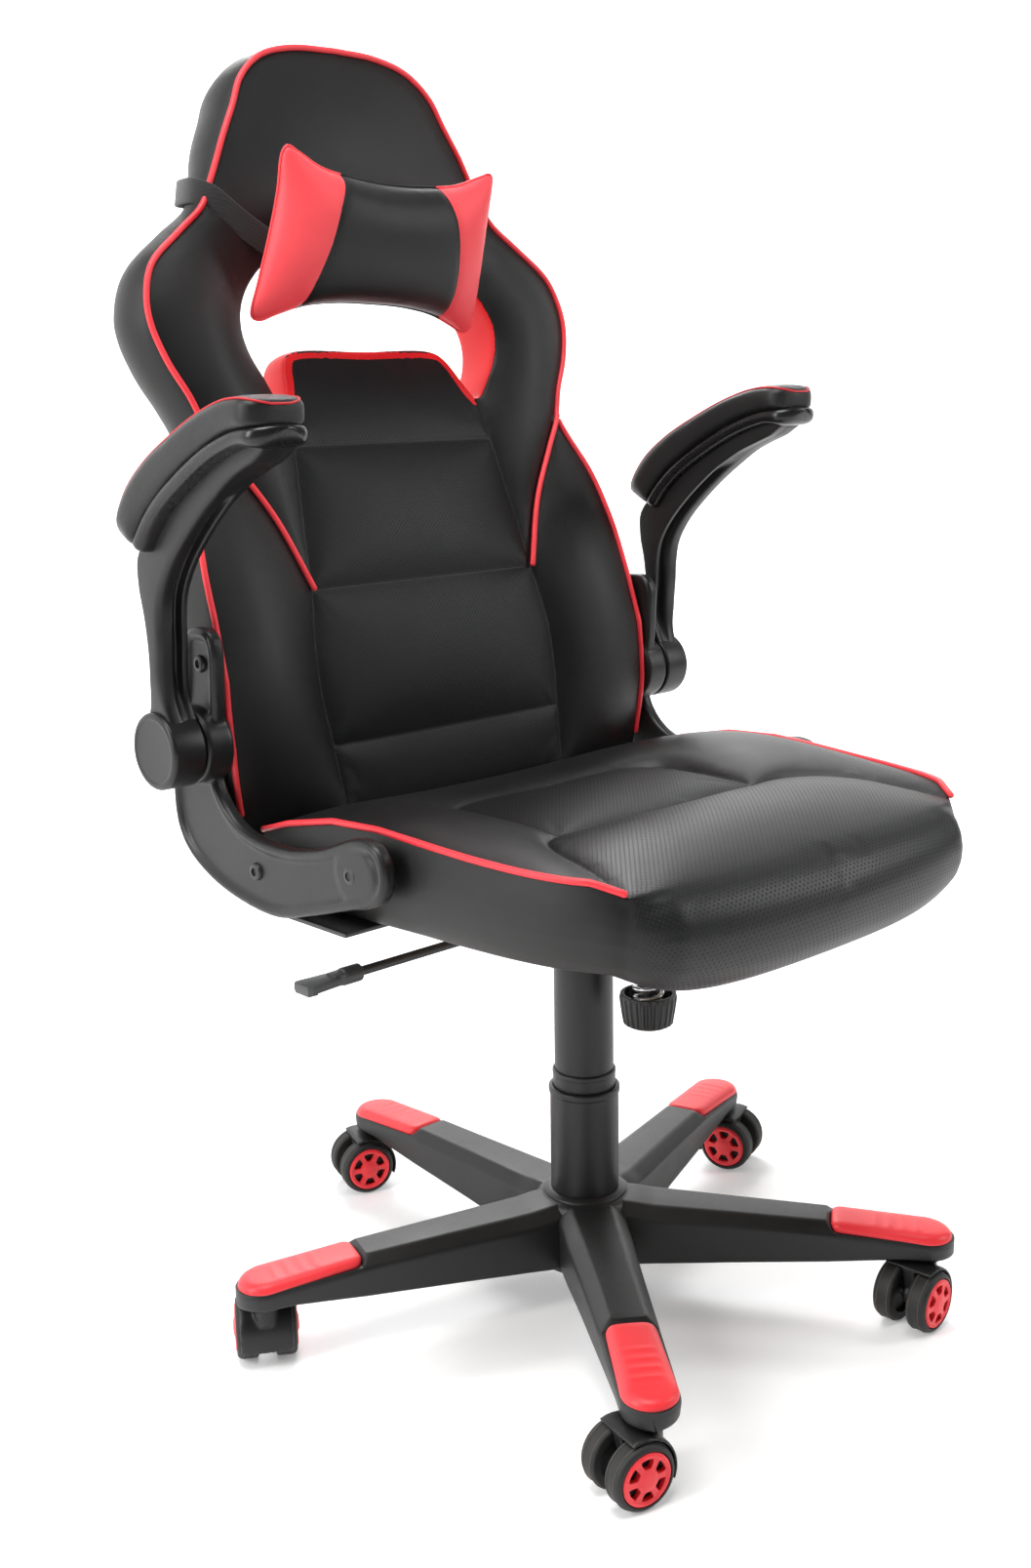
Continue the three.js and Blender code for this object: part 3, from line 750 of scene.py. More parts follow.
CLOTH_FRAMES = 20
CLOTH_STIFFNESS = 12.0


def inflate(obj, held, cap, pressure=4.0):
    """Cloth simulation of a padded cover: the seams are held, and no point travels past the cap (mm)."""
    scene = bpy.context.scene
    group = obj.vertex_groups.new(name="held")
    group.add([int(i) for i in held], 1.0, "REPLACE")
    cloth = obj.modifiers.new("Cloth", "CLOTH")
    cloth.settings.quality = 4
    cloth.settings.mass = 0.25
    cloth.settings.tension_stiffness = CLOTH_STIFFNESS
    cloth.settings.compression_stiffness = CLOTH_STIFFNESS
    cloth.settings.shear_stiffness = CLOTH_STIFFNESS / 2
    cloth.settings.bending_stiffness = 0.6
    cloth.settings.use_pressure = True
    cloth.settings.uniform_pressure_force = pressure
    cloth.settings.vertex_group_mass = "held"
    cloth.settings.effector_weights.gravity = 0.0
    cloth.collision_settings.use_collision = False
    cloth.collision_settings.use_self_collision = False
    cloth.point_cache.frame_start = 1
    cloth.point_cache.frame_end = CLOTH_FRAMES
    rest = np.zeros(len(obj.data.vertices) * 3, np.float32)
    obj.data.vertices.foreach_get("co", rest)
    for number in range(1, CLOTH_FRAMES + 1):
        scene.frame_set(number)
    blown = obj.evaluated_get(bpy.context.evaluated_depsgraph_get()).data
    now = np.zeros(len(rest), np.float32)
    blown.vertices.foreach_get("co", now)
    travel = (now - rest).reshape(-1, 3)
    length = np.linalg.norm(travel, axis=1, keepdims=True)
    limit = cap * MM
    travel *= limit * (1 - np.exp(-length / limit)) / np.maximum(length, 1e-9)
    obj.modifiers.remove(cloth)
    obj.vertex_groups.remove(group)
    scene.frame_set(1)
    obj.data.vertices.foreach_set("co", (rest.reshape(-1, 3) + travel).ravel())
    obj.data.update()


def subdivide(obj):
    modifier = obj.modifiers.new("subdivision", "SUBSURF")
    modifier.levels = 1
    modifier.render_levels = 1


def groove(distance, depth, width):
    return depth * np.exp(-((distance / width) ** 2))


# ---- Backrest -----------------------------------------------------------------------------
LEAN = math.atan(0.26)
BACK_Y, BACK_Z = 169.0, 525.0  # mm, a point on the seam plane, from which heights along the lean count
PIPE = 2.7  # mm, radius of the piping
V_FOOT, V_HEAD = 663, 800  # mm, heights between which the V seam runs from the panel to the shoulder


def along(z):
    """Height above the backrest's foot, measured along its lean."""
    return (np.asarray(z, float) - BACK_Z) / math.cos(LEAN)


def leaned(flat, forward):
    """(x, height along the lean) points standing `forward` of the backrest's seam plane."""
    flat = np.asarray(flat, float)
    forward = np.broadcast_to(forward, len(flat))
    sin, cos = math.sin(LEAN), math.cos(LEAN)
    y = BACK_Y + flat[:, 1] * sin - forward * cos
    z = BACK_Z + flat[:, 1] * cos + forward * sin
    return np.stack([flat[:, 0], y, z], 1)


def on_back(points):
    """(x, true z) points of the cover's edge as (x, height along the lean)."""
    points = np.asarray(points, float)
    rise = table(points[:, 1], EDGE_FORWARD) * math.sin(LEAN)
    return np.stack([points[:, 0], along(points[:, 1] - rise)], 1)


BACK_HALF = [(0, 452), (110, 452), (196, 453), (234, 461), (245, 482), (249, 510), (252, 545), (252, 590),
             (250, 640), (247, 692), (237, 743), (220, 778), (210, 800), (219, 826), (234, 855), (243, 886),
             (242, 908), (231, 935), (198, 963), (169, 986), (157, 1006), (147, 1026), (137, 1047),
             (122, 1074), (109, 1099), (84, 1120), (48, 1130), (0, 1132.5)]
WINDOW_HALF = [(0, 871), (86, 870), (96, 862), (116, 821), (135, 844), (147, 868), (149, 889), (142, 908),
               (128, 926), (106, 943), (70, 955), (0, 960)]
V_SEAM = [(209, V_HEAD), (188, 769), (158, 723), (133, V_FOOT)]
PANEL_UPPER = [(116, 821), (118, 782), (124, 737), (129, 700), (133, V_FOOT)]
PANEL_LOWER = [(133, V_FOOT), (142, 612), (143, 570), (139, 528), (135, 485), (133, 452)]
CROSS_SEAMS = [782, 662, 526]
EDGE_FORWARD = [(452, -12), (474, -8), (490, -4), (535, 11), (590, 21), (640, 19), (692, 14), (743, 7),
                (789, 1), (1000, 1), (1045, 7), (1098, 11), (1133, 13)]
PANEL_FORWARD = [(452, -6), (525, 0), (600, 5), (663, 5), (782, -1), (821, -7), (871, -25)]
WINDOW_FORWARD = [(821, -8), (845, -3), (889, -1), (960, -4)]
REAR_DEPTH = [(452, 46), (640, 48), (760, 52), (900, 54), (960, 51), (990, 43), (1012, 43), (1045, 49),
              (1090, 51), (1133, 47)]
NECK_PINCH = [(452, 4), (900, 0), (965, 3), (1000, 9), (1035, 2), (1060, 0), (1133, 2)]


def upright(flat):
    """Column-frame z of (x, height along the lean) points on the seam plane."""
    return BACK_Z + flat[:, 1] * math.cos(LEAN)


def back_curves(spacing):
    """Loops and seams of the backrest cover, flat, at one spacing."""
    outer = curve(on_back(mirrored(BACK_HALF)), spacing, closed=True)
    window = curve(on_back(mirrored(WINDOW_HALF)), spacing, closed=True)
    seams, names = [], []
    for side in (1, -1):
        for name, line in (("v", V_SEAM), ("upper", PANEL_UPPER), ("lower", PANEL_LOWER)):
            seams.append(curve(on_back(line) * [side, 1], spacing))
            names.append(name)
    for z, (x, _) in zip(CROSS_SEAMS, ((118, 782), (133, 662), (139, 526))):
        seams.append(evenly(on_back([(-x, z), (x, z)]), spacing))
        names.append("cross")
    return outer, window, seams, names


def backrest():
    """The whole backrest as one padded cover, with its seams, window, bolsters and upright panel."""
    spacing = 6.0
    outer, window, seams, names = back_curves(spacing)
    side_rows = []
    for seam in seams:
        side_rows += beside(seam[1:-1], 2.6)
    side_rows += [window + normals_2d(window) * gap for gap in (2.5, 8.5)]
    side_rows += [outer - normals_2d(outer) * gap for gap in (3.0, 7.0)]
    points, triangles, loop_ids, seam_ids = triangulated([outer, window], seams, spacing, side_rows)
    z = upright(points)
    x = np.abs(points[:, 0])

    panel_half = [(0, 452), *PANEL_LOWER[::-1], *PANEL_UPPER[::-1][1:], (96, 862), (86, 870), (0, 871)]
    panel_outline = on_back(mirrored(panel_half))
    bolster_half = np.array([*PANEL_LOWER[::-1], *V_SEAM[::-1][1:], *BACK_HALF[11:2:-1], (150, 452)], float)
    centres = points[triangles].mean(1)
    centre_z = upright(centres)
    is_panel = inside(centres, panel_outline)
    folded = np.column_stack([np.abs(centres[:, 0]), centres[:, 1]])
    is_bolster = inside(folded, on_back(bolster_half)) & ~is_panel
    push = table(centre_z, [(660, 0.010), (800, 0.0125), (900, 0.0135), (960, 0.008), (1010, 0.0042),
                            (1132, 0.0042)])
    push[is_bolster] = 0.0105
    push[is_panel] = 0.0022

    held = {}
    for ids, seam_name in zip(seam_ids, names):
        for i in ids:
            value = table(z[i], PANEL_FORWARD)
            if seam_name == "v":
                t = (z[i] - V_FOOT) / (V_HEAD - V_FOOT)
                value = (1 - t) * table(V_FOOT, PANEL_FORWARD) + t * table(V_HEAD, EDGE_FORWARD)
            held[int(i)] = value
    for i in loop_ids[0]:
        held[int(i)] = table(z[i], EDGE_FORWARD)
    for i in loop_ids[1]:
        on_panel = x[i] < 116.5 and z[i] < 900
        held[int(i)] = table(z[i], PANEL_FORWARD) if on_panel else table(z[i], WINDOW_FORWARD)
    fixed = np.array(sorted(held))
    forward = stretched_skin(points, triangles, fixed, np.array([held[i] for i in fixed]), push)
    sewn = [points[ids] for ids in seam_ids]
    forward -= groove(distance_to(points, sewn), 1.6, 2.4)

    rear_push = np.full(len(triangles), 0.0011)
    loops_fixed = np.array(sorted(set(loop_ids[0]) | set(loop_ids[1])))
    rear_crown = stretched_skin(points, triangles, loops_fixed, np.zeros(len(loops_fixed)), rear_push)
    shrink = ease(1 - rim_distance(points, outer) / 60.0)
    toward = np.array([0.0, along(760)])
    inward = (toward - points) / np.linalg.norm(toward - points, axis=1, keepdims=True)
    rear_flat = points + inward * (shrink * table(z, NECK_PINCH))[:, None]
    rear_depth = -(table(z, REAR_DEPTH) + np.minimum(rear_crown, 9.0))
    rear_line = evenly(on_back([(-205, 800), (205, 800)]), 6.0)
    rear_depth += groove(distance_to(rear_flat, [rear_line]), 1.8, 2.6)
    front = leaned(points, forward)
    rear = leaned(rear_flat, rear_depth)

    def side_rows_of(ids, count, bulge):
        ids = np.asarray(ids)
        flat_front, flat_rear = points[ids], rear_flat[ids]
        outward = normals_2d(flat_front)
        rows = []
        for k in range(1, count + 1):
            t = k / (count + 1)
            flat = flat_front * (1 - t) + flat_rear * t + outward * bulge * math.sin(math.pi * t) ** 0.8
            rows.append(leaned(flat, forward[ids] * (1 - t) + rear_depth[ids] * t))
        return rows

    sides = [side_rows_of(loop_ids[0], 8, 8.0), side_rows_of(loop_ids[1], 7, -1.5)]
    shell, faces, zones = padded_shell(front, rear, triangles, loop_ids, sides)
    kind = np.zeros(len(zones), int)
    front_count = len(triangles)
    kind[:front_count][is_panel] = 1
    lip = rim_distance(centres, window) < 7.0
    kind[:front_count][lip & (np.abs(centres[:, 0]) < 113) & (centre_z < 900) & is_panel] = 3
    kind[zones == 2] = 2
    kind[zones == 3] = 3
    made = add_mesh("back_upholstery", shell, faces, [LEATHER, PANEL, GUSSET, LINING], kind, sharp=0)
    count = len(points)
    flat = np.zeros((len(shell), 3))
    flat[:count, :2] = points
    flat[count : 2 * count, :2] = points
    give_flat(made, flat)
    held_ids = set(int(i) for ids in loop_ids + seam_ids for i in ids)
    held_ids |= {i + count for i in held_ids}
    inflate(made, sorted(held_ids), 6.0)
    subdivide(made)
    finish_piece(made, "seat_frame", ["back_cushion", "back_board"])


def back_piping():
    """Piping round the head and shoulders down to the V, and down each lower bolster."""
    outer = on_back(BACK_HALF[12:])
    upper_half = smooth_curve(np.vstack([on_back(V_SEAM)[::-1], outer[1:]]))
    upper_flat = np.vstack([upper_half, (upper_half * [-1, 1])[::-1][1:]])
    upper_flat = evenly(upper_flat, 5.0)
    forward = table(upright(upper_flat), EDGE_FORWARD)
    on_v = upright(upper_flat) < V_HEAD
    t = (upright(upper_flat) - V_FOOT) / (V_HEAD - V_FOOT)
    forward[on_v] = ((1 - t) * 5 + t * 1)[on_v] + 1.2
    outward = -normals_2d(upper_flat, closed=False)
    outward *= np.sign((outward * upper_flat).sum(1))[:, None]
    lift_out = np.where(on_v, 0.0, -0.6)[:, None]
    path = leaned(upper_flat + outward * lift_out, forward + 1.4)
    made = [add_mesh("piping_upper", *tube(path, PIPE), [PIPING])]
    for side, label in ((1, "left"), (-1, "right")):
        lower = curve(on_back(BACK_HALF[4:13]), 5.0) * [side, 1]
        lower = lower[:-1]
        outward = normals_2d(lower, closed=False) * side
        forward = table(upright(lower), EDGE_FORWARD)
        path = leaned(lower - outward * 0.6, forward + 1.4)
        made.append(add_mesh(f"piping_lower_{label}", *tube(path, PIPE), [PIPING]))
    for piece in made:
        finish_piece(piece, "seat_frame")


# ---- Seat ---------------------------------------------------------------------------------
SEAT_HALF = [(0, -258), (100, -256), (155, -252), (184, -248), (202, -240), (222, -207), (233, -165),
             (240, -100), (243, -20), (243, 60), (242, 112), (234, 146), (206, 158), (150, 156), (0, 150)]
SEAT_EDGE = [(-262, 486), (-243, 484), (-220, 492), (-171, 493), (-119, 495), (-65, 498), (-19, 500),
             (37, 497), (96, 485), (134, 473), (152, 468)]
INSERT_HALF = [(0, -97), (60, -96), (117, -91), (125, -50), (128, 0), (121, 30), (98, 46), (50, 50), (0, 46)]
CORNER_SEAM = [(117, -91), (146, -106), (170, -140), (186, -190), (202, -240)]
SEAT_BOTTOM = [(-262, 424), (-200, 424), (-60, 423), (68, 419.5), (134, 420)]
CROWN = 15.0  # mm, height at which the cushion's fuller rounding matches the plain stretched skin
NOSE_DROP = 27.0  # mm the front roll hangs lower in the middle than at its corners
SIDE_STEPS = 24  # rows of faces down the cushion's sides
SIDE_HEIGHT = 78  # mm of cover down the cushion's sides


def seat_front_share(flat):
    """Full in the middle of the rolled front, fading to 0 at its corners and along the piped sides."""
    across = np.abs(flat[:, 0])
    on_front = flat[:, 1] < -225
    return np.where(on_front, ease((204 - across) / 34.0) * (1.0 - 0.35 * (across / 204) ** 2), 0.0)


def seat_low(flat):
    """Height of the cushion's underside, which hangs lower at the middle of the front."""
    sag = np.clip(1 - np.abs(flat[:, 0] / 205) ** 4.5, 0, 1) * ease((-150 - flat[:, 1]) / 90)
    return table(flat[:, 1], SEAT_BOTTOM) - NOSE_DROP * sag


def seat():
    """Seat cushion as one padded cover, with its insert, rolled front, side gussets and side piping."""
    spacing = 6.0
    outer = curve(mirrored(SEAT_HALF), spacing, closed=True)
    insert = curve(mirrored(INSERT_HALF), spacing, closed=True)
    insert_seam = np.vstack([insert, insert[:1]])
    seams = [insert_seam]
    for side in (1, -1):
        seams.append(curve(np.array(CORNER_SEAM) * [side, 1], spacing))
    side_rows = beside(insert, 2.6, closed=True)
    for seam in seams[1:]:
        side_rows += beside(seam[1:-1], 2.6)
    side_rows += [outer - normals_2d(outer) * gap for gap in (3.0, 7.0)]
    points, triangles, loop_ids, seam_ids = triangulated([outer], seams, spacing, side_rows)
    centres = points[triangles].mean(1)
    in_insert = inside(centres, insert)
    front_outline = mirrored([(0, -262), (202, -262), *CORNER_SEAM[::-1], (0, -97)])
    in_front = inside(centres, front_outline) & ~in_insert
    push = np.full(len(triangles), 0.0095)
    push[in_front] = 0.0055
    push[in_insert] = 0.0016
    push[(centres[:, 1] > 60) & ~in_insert] = 0.004

    held = {}
    for i in seam_ids[0]:
        held[int(i)] = table(points[i, 1], [(-97, 486), (-40, 486), (50, 484)])
    for ids in seam_ids[1:]:
        run = np.linspace(0, 1, len(ids))
        for i, t in zip(ids, run):
            held[int(i)] = 486 + 6 * math.sin(math.pi * t) - 1 * t
    for i in loop_ids[0]:
        held[int(i)] = table(points[i, 1], SEAT_EDGE)
    fixed = np.array(sorted(held))
    heights = np.array([held[i] for i in fixed])
    level = stretched_skin(points, triangles, fixed, heights, push * 0.0)
    crown = np.maximum(stretched_skin(points, triangles, fixed, heights, push) - level, 0)
    fuller = 0.72 + 0.28 * ease((-175 - points[:, 1]) / 50)
    level += CROWN * (crown / CROWN) ** fuller
    sewn = [points[ids] for ids in seam_ids]
    level -= groove(distance_to(points, sewn), 2.2, 2.6)
    front = np.column_stack([points, level])
    bottom_level = seat_low(points)
    rim = rim_distance(points, outer)
    share = seat_front_share(points)
    reach = -4.0 * share - 7.0 * (1 - share)
    near_rim = np.argmin(np.linalg.norm(points[:, None] - outer[None], axis=2), axis=1)
    around = normals_2d(outer)[near_rim]
    fade = ease(1 - rim / 26.0)
    bottom_flat = points + around * (reach * fade)[:, None]
    rear = np.column_stack([bottom_flat, bottom_level])

    ids = np.asarray(loop_ids[0])
    ring = points[ids]
    outward = normals_2d(ring)
    share = seat_front_share(ring)[:, None]
    corner_gap = np.hypot(np.abs(ring[:, 0]) - 202, ring[:, 1] + 240)
    crease = groove(corner_gap, 2.2, 4.0)[:, None]
    nose_out = [(0, 0), (10, 5.5), (18, 14), (24, 27), (27, 43), (26.5, 60), (22, 77), (12, 92), (-4, 100)]
    side_out = [(0, 0), (1.5, 10), (3.5, 24), (4.5, 40), (4, 58), (1.5, 76), (-1, 88), (-4, 96), (-7, 100)]
    rows, unrolled = [], []
    top, low = level[ids], seat_low(ring)
    for k in range(1, SIDE_STEPS):
        t = k / SIDE_STEPS * 100
        nose = np.interp(k / SIDE_STEPS * 8, range(9), [a for a, _ in nose_out])
        nose_down = np.interp(k / SIDE_STEPS * 8, range(9), [b for _, b in nose_out])
        plain = np.interp(t, [b for _, b in side_out], [a for a, _ in side_out])
        out = share * nose + (1 - share) * plain
        down = (share * nose_down + (1 - share) * t)[:, 0] / 100
        flat = ring + outward * (out - crease * min(1.0, k / 3))
        rows.append(np.column_stack([flat, top * (1 - down) + low * down]))
        unrolled.append(ring + outward * (k / SIDE_STEPS * SIDE_HEIGHT))
    shell, faces, zones = padded_shell(front, rear, triangles, loop_ids, [rows])
    kind = np.zeros(len(zones), int)
    count = len(triangles)
    kind[:count][in_insert] = 1
    kind[:count][in_front] = 2
    side_faces = np.where(zones == 2)[0]
    ring_share = seat_front_share(ring)
    per_row = len(ids)
    share_of_face = np.array([min(ring_share[(n % per_row)], ring_share[(n + 1) % per_row])
                              for n in range(len(side_faces))])
    kind[side_faces] = np.where(share_of_face > 0.02, 2, 3)
    made = add_mesh("seat_upholstery", shell, faces, [LEATHER, PANEL, NOSE, GUSSET], kind, sharp=0)
    flat = np.zeros((len(shell), 3))
    n = len(points)
    flat[:n, :2] = points
    flat[n : 2 * n, :2] = points
    flat[2 * n :, :2] = np.vstack(unrolled)
    give_flat(made, flat)
    held_ids = set(int(i) for s in seam_ids for i in s)
    held_ids |= {int(i) for i in ids[ring_share < 0.5]}
    held_ids |= set(range(n, 2 * n))
    inflate(made, sorted(held_ids), 6.0)
    subdivide(made)
    finish_piece(made, "seat_frame", ["seat_cushion"])
    for side, label in ((1, "left"), (-1, "right")):
        line = curve([(202, -240), (222, -207), (233, -165), (240, -100), (243, -20), (243, 60), (242, 112),
                      (236, 142)], 5.0)
        line = line * [side, 1]
        outward = normals_2d(line, closed=False) * side
        path = np.column_stack([line + outward * 0.6, table(line[:, 1], SEAT_EDGE) + 1.2])
        piece = add_mesh(f"piping_seat_{label}", *tube(path, PIPE), [PIPING])
        finish_piece(piece, "seat_frame")


# ---- Head pillow and strap ----------------------------------------------------------------
PILLOW_LEAN = math.radians(16.4)
PILLOW_HALF = [(0, -51), (40, -52), (76, -57), (103, -66), (119, -72), (128, -69), (126, -38), (122, 0),
               (120, 38), (121, 69), (117, 75), (104, 71), (78, 61), (40, 56), (0, 54)]
PILLOW_SEAM = [(56, 58), (67, 34), (75, 0), (81, -30), (84, -59)]
PILLOW_ROLL = 0.035  # radians
PILLOW_SWELL = 34.0  # mm of filling on the front at its fullest
WELT_SIDES = 8


def pillow_point(flat, forward):
    """Flat pillow points set `forward` of its seam plane, leaning with the backrest and rolled a little."""
    flat = np.asarray(flat, float)
    roll = np.array([[math.cos(PILLOW_ROLL), -math.sin(PILLOW_ROLL)],
                     [math.sin(PILLOW_ROLL), math.cos(PILLOW_ROLL)]])
    flat = flat @ roll
    sin, cos = math.sin(PILLOW_LEAN), math.cos(PILLOW_LEAN)
    centre = millimetres(middle("head_pillow"))
    y = 250 - flat[:, 1] * sin - forward * cos
    z = 958 + flat[:, 1] * cos - forward * sin
    return np.stack([flat[:, 0] + centre[0] - 11, y, z], 1)


def pillow():
    """Head pillow: a swollen cover in a bow shape, black in the middle and red at the ends."""
    spacing = 4.5
    outer = curve(mirrored(PILLOW_HALF), spacing, closed=True)
    seams = [curve(np.array(PILLOW_SEAM) * [side, 1], spacing) for side in (1, -1)]
    side_rows = []
    for seam in seams:
        side_rows += beside(seam[1:-1], 2.2)
    side_rows += [outer - normals_2d(outer) * gap for gap in (1.6, 4.0)]
    points, triangles, loop_ids, seam_ids = triangulated([outer], seams, spacing, side_rows)
    fixed = np.array(sorted(set(loop_ids[0])))
    swell = stretched_skin(points, triangles, fixed, np.zeros(len(fixed)), np.full(len(triangles), 0.0155))
    swell = PILLOW_SWELL * np.sqrt(np.maximum(swell, 0) / 27.0)
    valley = groove(distance_to(points, [points[ids] for ids in seam_ids]), 1.6, 2.4)
    front = pillow_point(points, 9 + 1.05 * swell - valley)
    rear = pillow_point(points, 9 - 0.42 * swell)
    ids = set(loop_ids[0])
    keep = np.ones(len(points), bool)
    keep[list(ids)] = False
    renumber = np.zeros(len(points), int)
    renumber[keep] = np.arange(keep.sum()) + len(points)
    for i in ids:
        renumber[i] = i
    faces = [tuple(t) for t in triangles] + [tuple(renumber[t[::-1]]) for t in triangles]
    shell = np.vstack([front, rear[keep]])
    centres = points[triangles].mean(1)
    folded = np.abs(centres[:, 0])
    seam_x, seam_y = np.array(PILLOW_SEAM[::-1]).T
    middle_part = folded < np.interp(centres[:, 1], seam_y, seam_x)
    kind = np.where(np.concatenate([middle_part, middle_part]), 1, 0)
    made = add_mesh("pillow_cover", shell, faces, [RED_LEATHER, LEATHER], kind, sharp=0)
    held = set(int(i) for i in loop_ids[0]) | {int(i) for s in seam_ids for i in s}
    inflate(made, sorted(held), 7.0, pressure=5.0)
    subdivide(made)
    finish_piece(made, "seat_frame", ["head_pillow"])
    flat_edge = curve(mirrored(PILLOW_HALF), 3.0, closed=True)
    middle_width = np.where(flat_edge[:, 1] > 0, PILLOW_SEAM[0][0], PILLOW_SEAM[-1][0])
    in_middle = (np.abs(flat_edge[:, 0]) < middle_width).astype(int)
    welt_points, welt_faces = tube(pillow_point(flat_edge, 9.0), 1.1, WELT_SIDES, closed=True)
    welt = add_mesh("pillow_edge_seam", welt_points, welt_faces, [RED_LEATHER, LEATHER],
                    np.repeat(in_middle, WELT_SIDES))
    finish_piece(welt, "seat_frame")


def strap():
    """Elastic strap: from behind each end of the pillow, round the backrest's neck and across its rear."""
    width, thick = 21.0, 2.0
    half = [(104, 262, 950), (122, 268, 961), (146, 276, 979), (162, 284, 994), (170, 295, 999),
            (169, 315, 1000), (160, 338, 1000), (140, 350, 1000), (80, 355, 1000), (0, 356, 1000)]
    line = smooth_curve(np.vstack([half, (np.array(half[:-1]) * [-1, 1, 1])[::-1]]))
    line = evenly(line, 5.0)
    direction = np.gradient(line, axis=0)
    direction /= np.linalg.norm(direction, axis=1, keepdims=True)
    up = np.array([0, -0.26, 1.0]) / np.linalg.norm([0, 0.26, 1.0])
    across = up - direction * (direction @ up)[:, None]
    across /= np.linalg.norm(across, axis=1, keepdims=True)
    out = np.cross(direction, across)
    loops = []
    for p, a, o in zip(line, across, out):
        corners = []
        for u, v in ((-1, -1), (-0.9, -1), (0, -1), (0.9, -1), (1, -1), (1, 1), (0.9, 1), (0, 1), (-0.9, 1),
                     (-1, 1)):
            lip = 0.55 if abs(u) > 0.95 else 1.0
            corners.append(p + a * u * width / 2 + o * v * lip * thick / 2)
        loops.append(np.array(corners))
    made = add_mesh("pillow_elastic", *rings(loops), [WEBBING])
    subdivide(made)
    finish_piece(made, "seat_frame", ["pillow_strap"])


# ---- Side brackets and arms ---------------------------------------------------------------
PIVOT = millimetres(middle("arm_pivot_pin_left"))
BRACKET = [(-58, 470), (-52, 455), (-36, 446), (-14, 440), (40, 424), (84, 413.5), (139, 418), (180, 430),
           (210, 448), (224, 470), (227, 505), (220, 540), (208, 570), (200, 600), (197, 630), (190, 640),
           (164, 640), (156, 630), (155, 600), (158, 560), (164, 520), (154, 500), (136, 485), (112, 477),
           (67, 475), (20, 484), (-22, 499), (-46, 497), (-56, 486)]


def plate_zone(outline, inset):
    return np.asarray(outline) - normals_2d(np.asarray(outline)) * inset


def bracket(side, label):
    """Moulded plate that joins seat and back and carries the arm's pivot."""
    outline = curve(BRACKET, 3.5, closed=True)
    to_side = lambda p: side_view(p, side)
    floor = slab(plate_zone(outline, 5.5), 256.5, 266.0, 1.5, 2, to_side)
    border_outer = slab(outline, 257.0, 264.0, 3.0, 3, to_side)
    ridge_path = plate_zone(outline, 4.8)
    rim = tube(to_side(np.column_stack([ridge_path, np.full(len(ridge_path), 265.5)])), 4.8, 12, closed=True)
    barrel = rod_between((side * 254, PIVOT[1], PIVOT[2]), (side * 280.6, PIVOT[1], PIVOT[2]), 32.0, 48, 2.5)
    toe = rod_between((side * 257, -20, 469), (side * 268.5, -20, 469), 25.5, 40, 4.0)
    flange = slab([(118, 2), (262, 2), (262, 98), (118, 98)], 413.2, 416.8, 0.8, 2,
                  lambda p: p * [side, 1, 1])
    made = add_mesh(f"bracket_moulding_{label}", *join_parts([floor, border_outer, rim, barrel, toe]),
                    [BLACK_NYLON], sharp=0)
    melt(made, 1.8, 5)
    finish_piece(made, "seat_frame", [f"side_bracket_{label}"])
    foot = add_mesh(f"bracket_flange_{label}", *flange, [BLACK_STEEL])
    finish_piece(foot, "seat_frame")
    for number, (y, z) in enumerate(((112, 447), (-14, 468), (178, 612))):
        head = rounded([(0, 0), (7.5, 0), (7.5, 1.0), (6.6, 3.2), (3.4, 4.0), (3.4, 1.6), (0, 1.6)], 0.6, 2)
        part = across_chair(turned(head, 32), side, 265.6, y, z)
        bolt = add_mesh(f"bracket_bolt_{label}_{number + 1}", *part, [BLACK_STEEL])
        finish_piece(bolt, "seat_frame")
    for number, (x, y) in enumerate(((150, 25), (150, 75), (225, 25), (225, 75))):
        nut = rod_between((side * x, y, 408.5), (side * x, y, 413.2), 6.5, 6, 0.4)
        piece = add_mesh(f"flange_bolt_{label}_{number + 1}", *nut, [BRIGHT_STEEL])
        finish_piece(piece, "seat_frame")


POST_FRONT = [(154, 540), (160, 562), (167, 584), (168, 606), (166, 632), (165, 652), (161, 672), (149, 692),
              (125, 717), (100, 738), (79, 753), (59, 766), (39, 775), (24, 781), (12, 789)]
POST_BACK = [(212, 540), (203, 562), (190, 582), (184, 606), (184, 632), (187, 656), (192, 680), (190, 704),
             (152, 738), (120, 760), (94, 776), (70, 787), (44, 796), (24, 799), (6, 800)]
POST_INNER, POST_OUTER = 281.6, 312.9
BARREL_RADIUS = 32.3


def paired(front, back, spacing):
    """Two lines sampled together: matching points on both, evenly along the first."""
    both = smooth_curve(np.hstack([np.asarray(front, float), np.asarray(back, float)]))
    run = np.concatenate([[0], np.cumsum(np.linalg.norm(np.diff(both[:, :2], axis=0), axis=1))])
    at = np.linspace(0, run[-1], max(2, int(round(run[-1] / spacing))) + 1)
    both = np.stack([np.interp(at, run, both[:, k]) for k in range(4)], 1)
    return both[:, :2], both[:, 2:], at / run[-1]


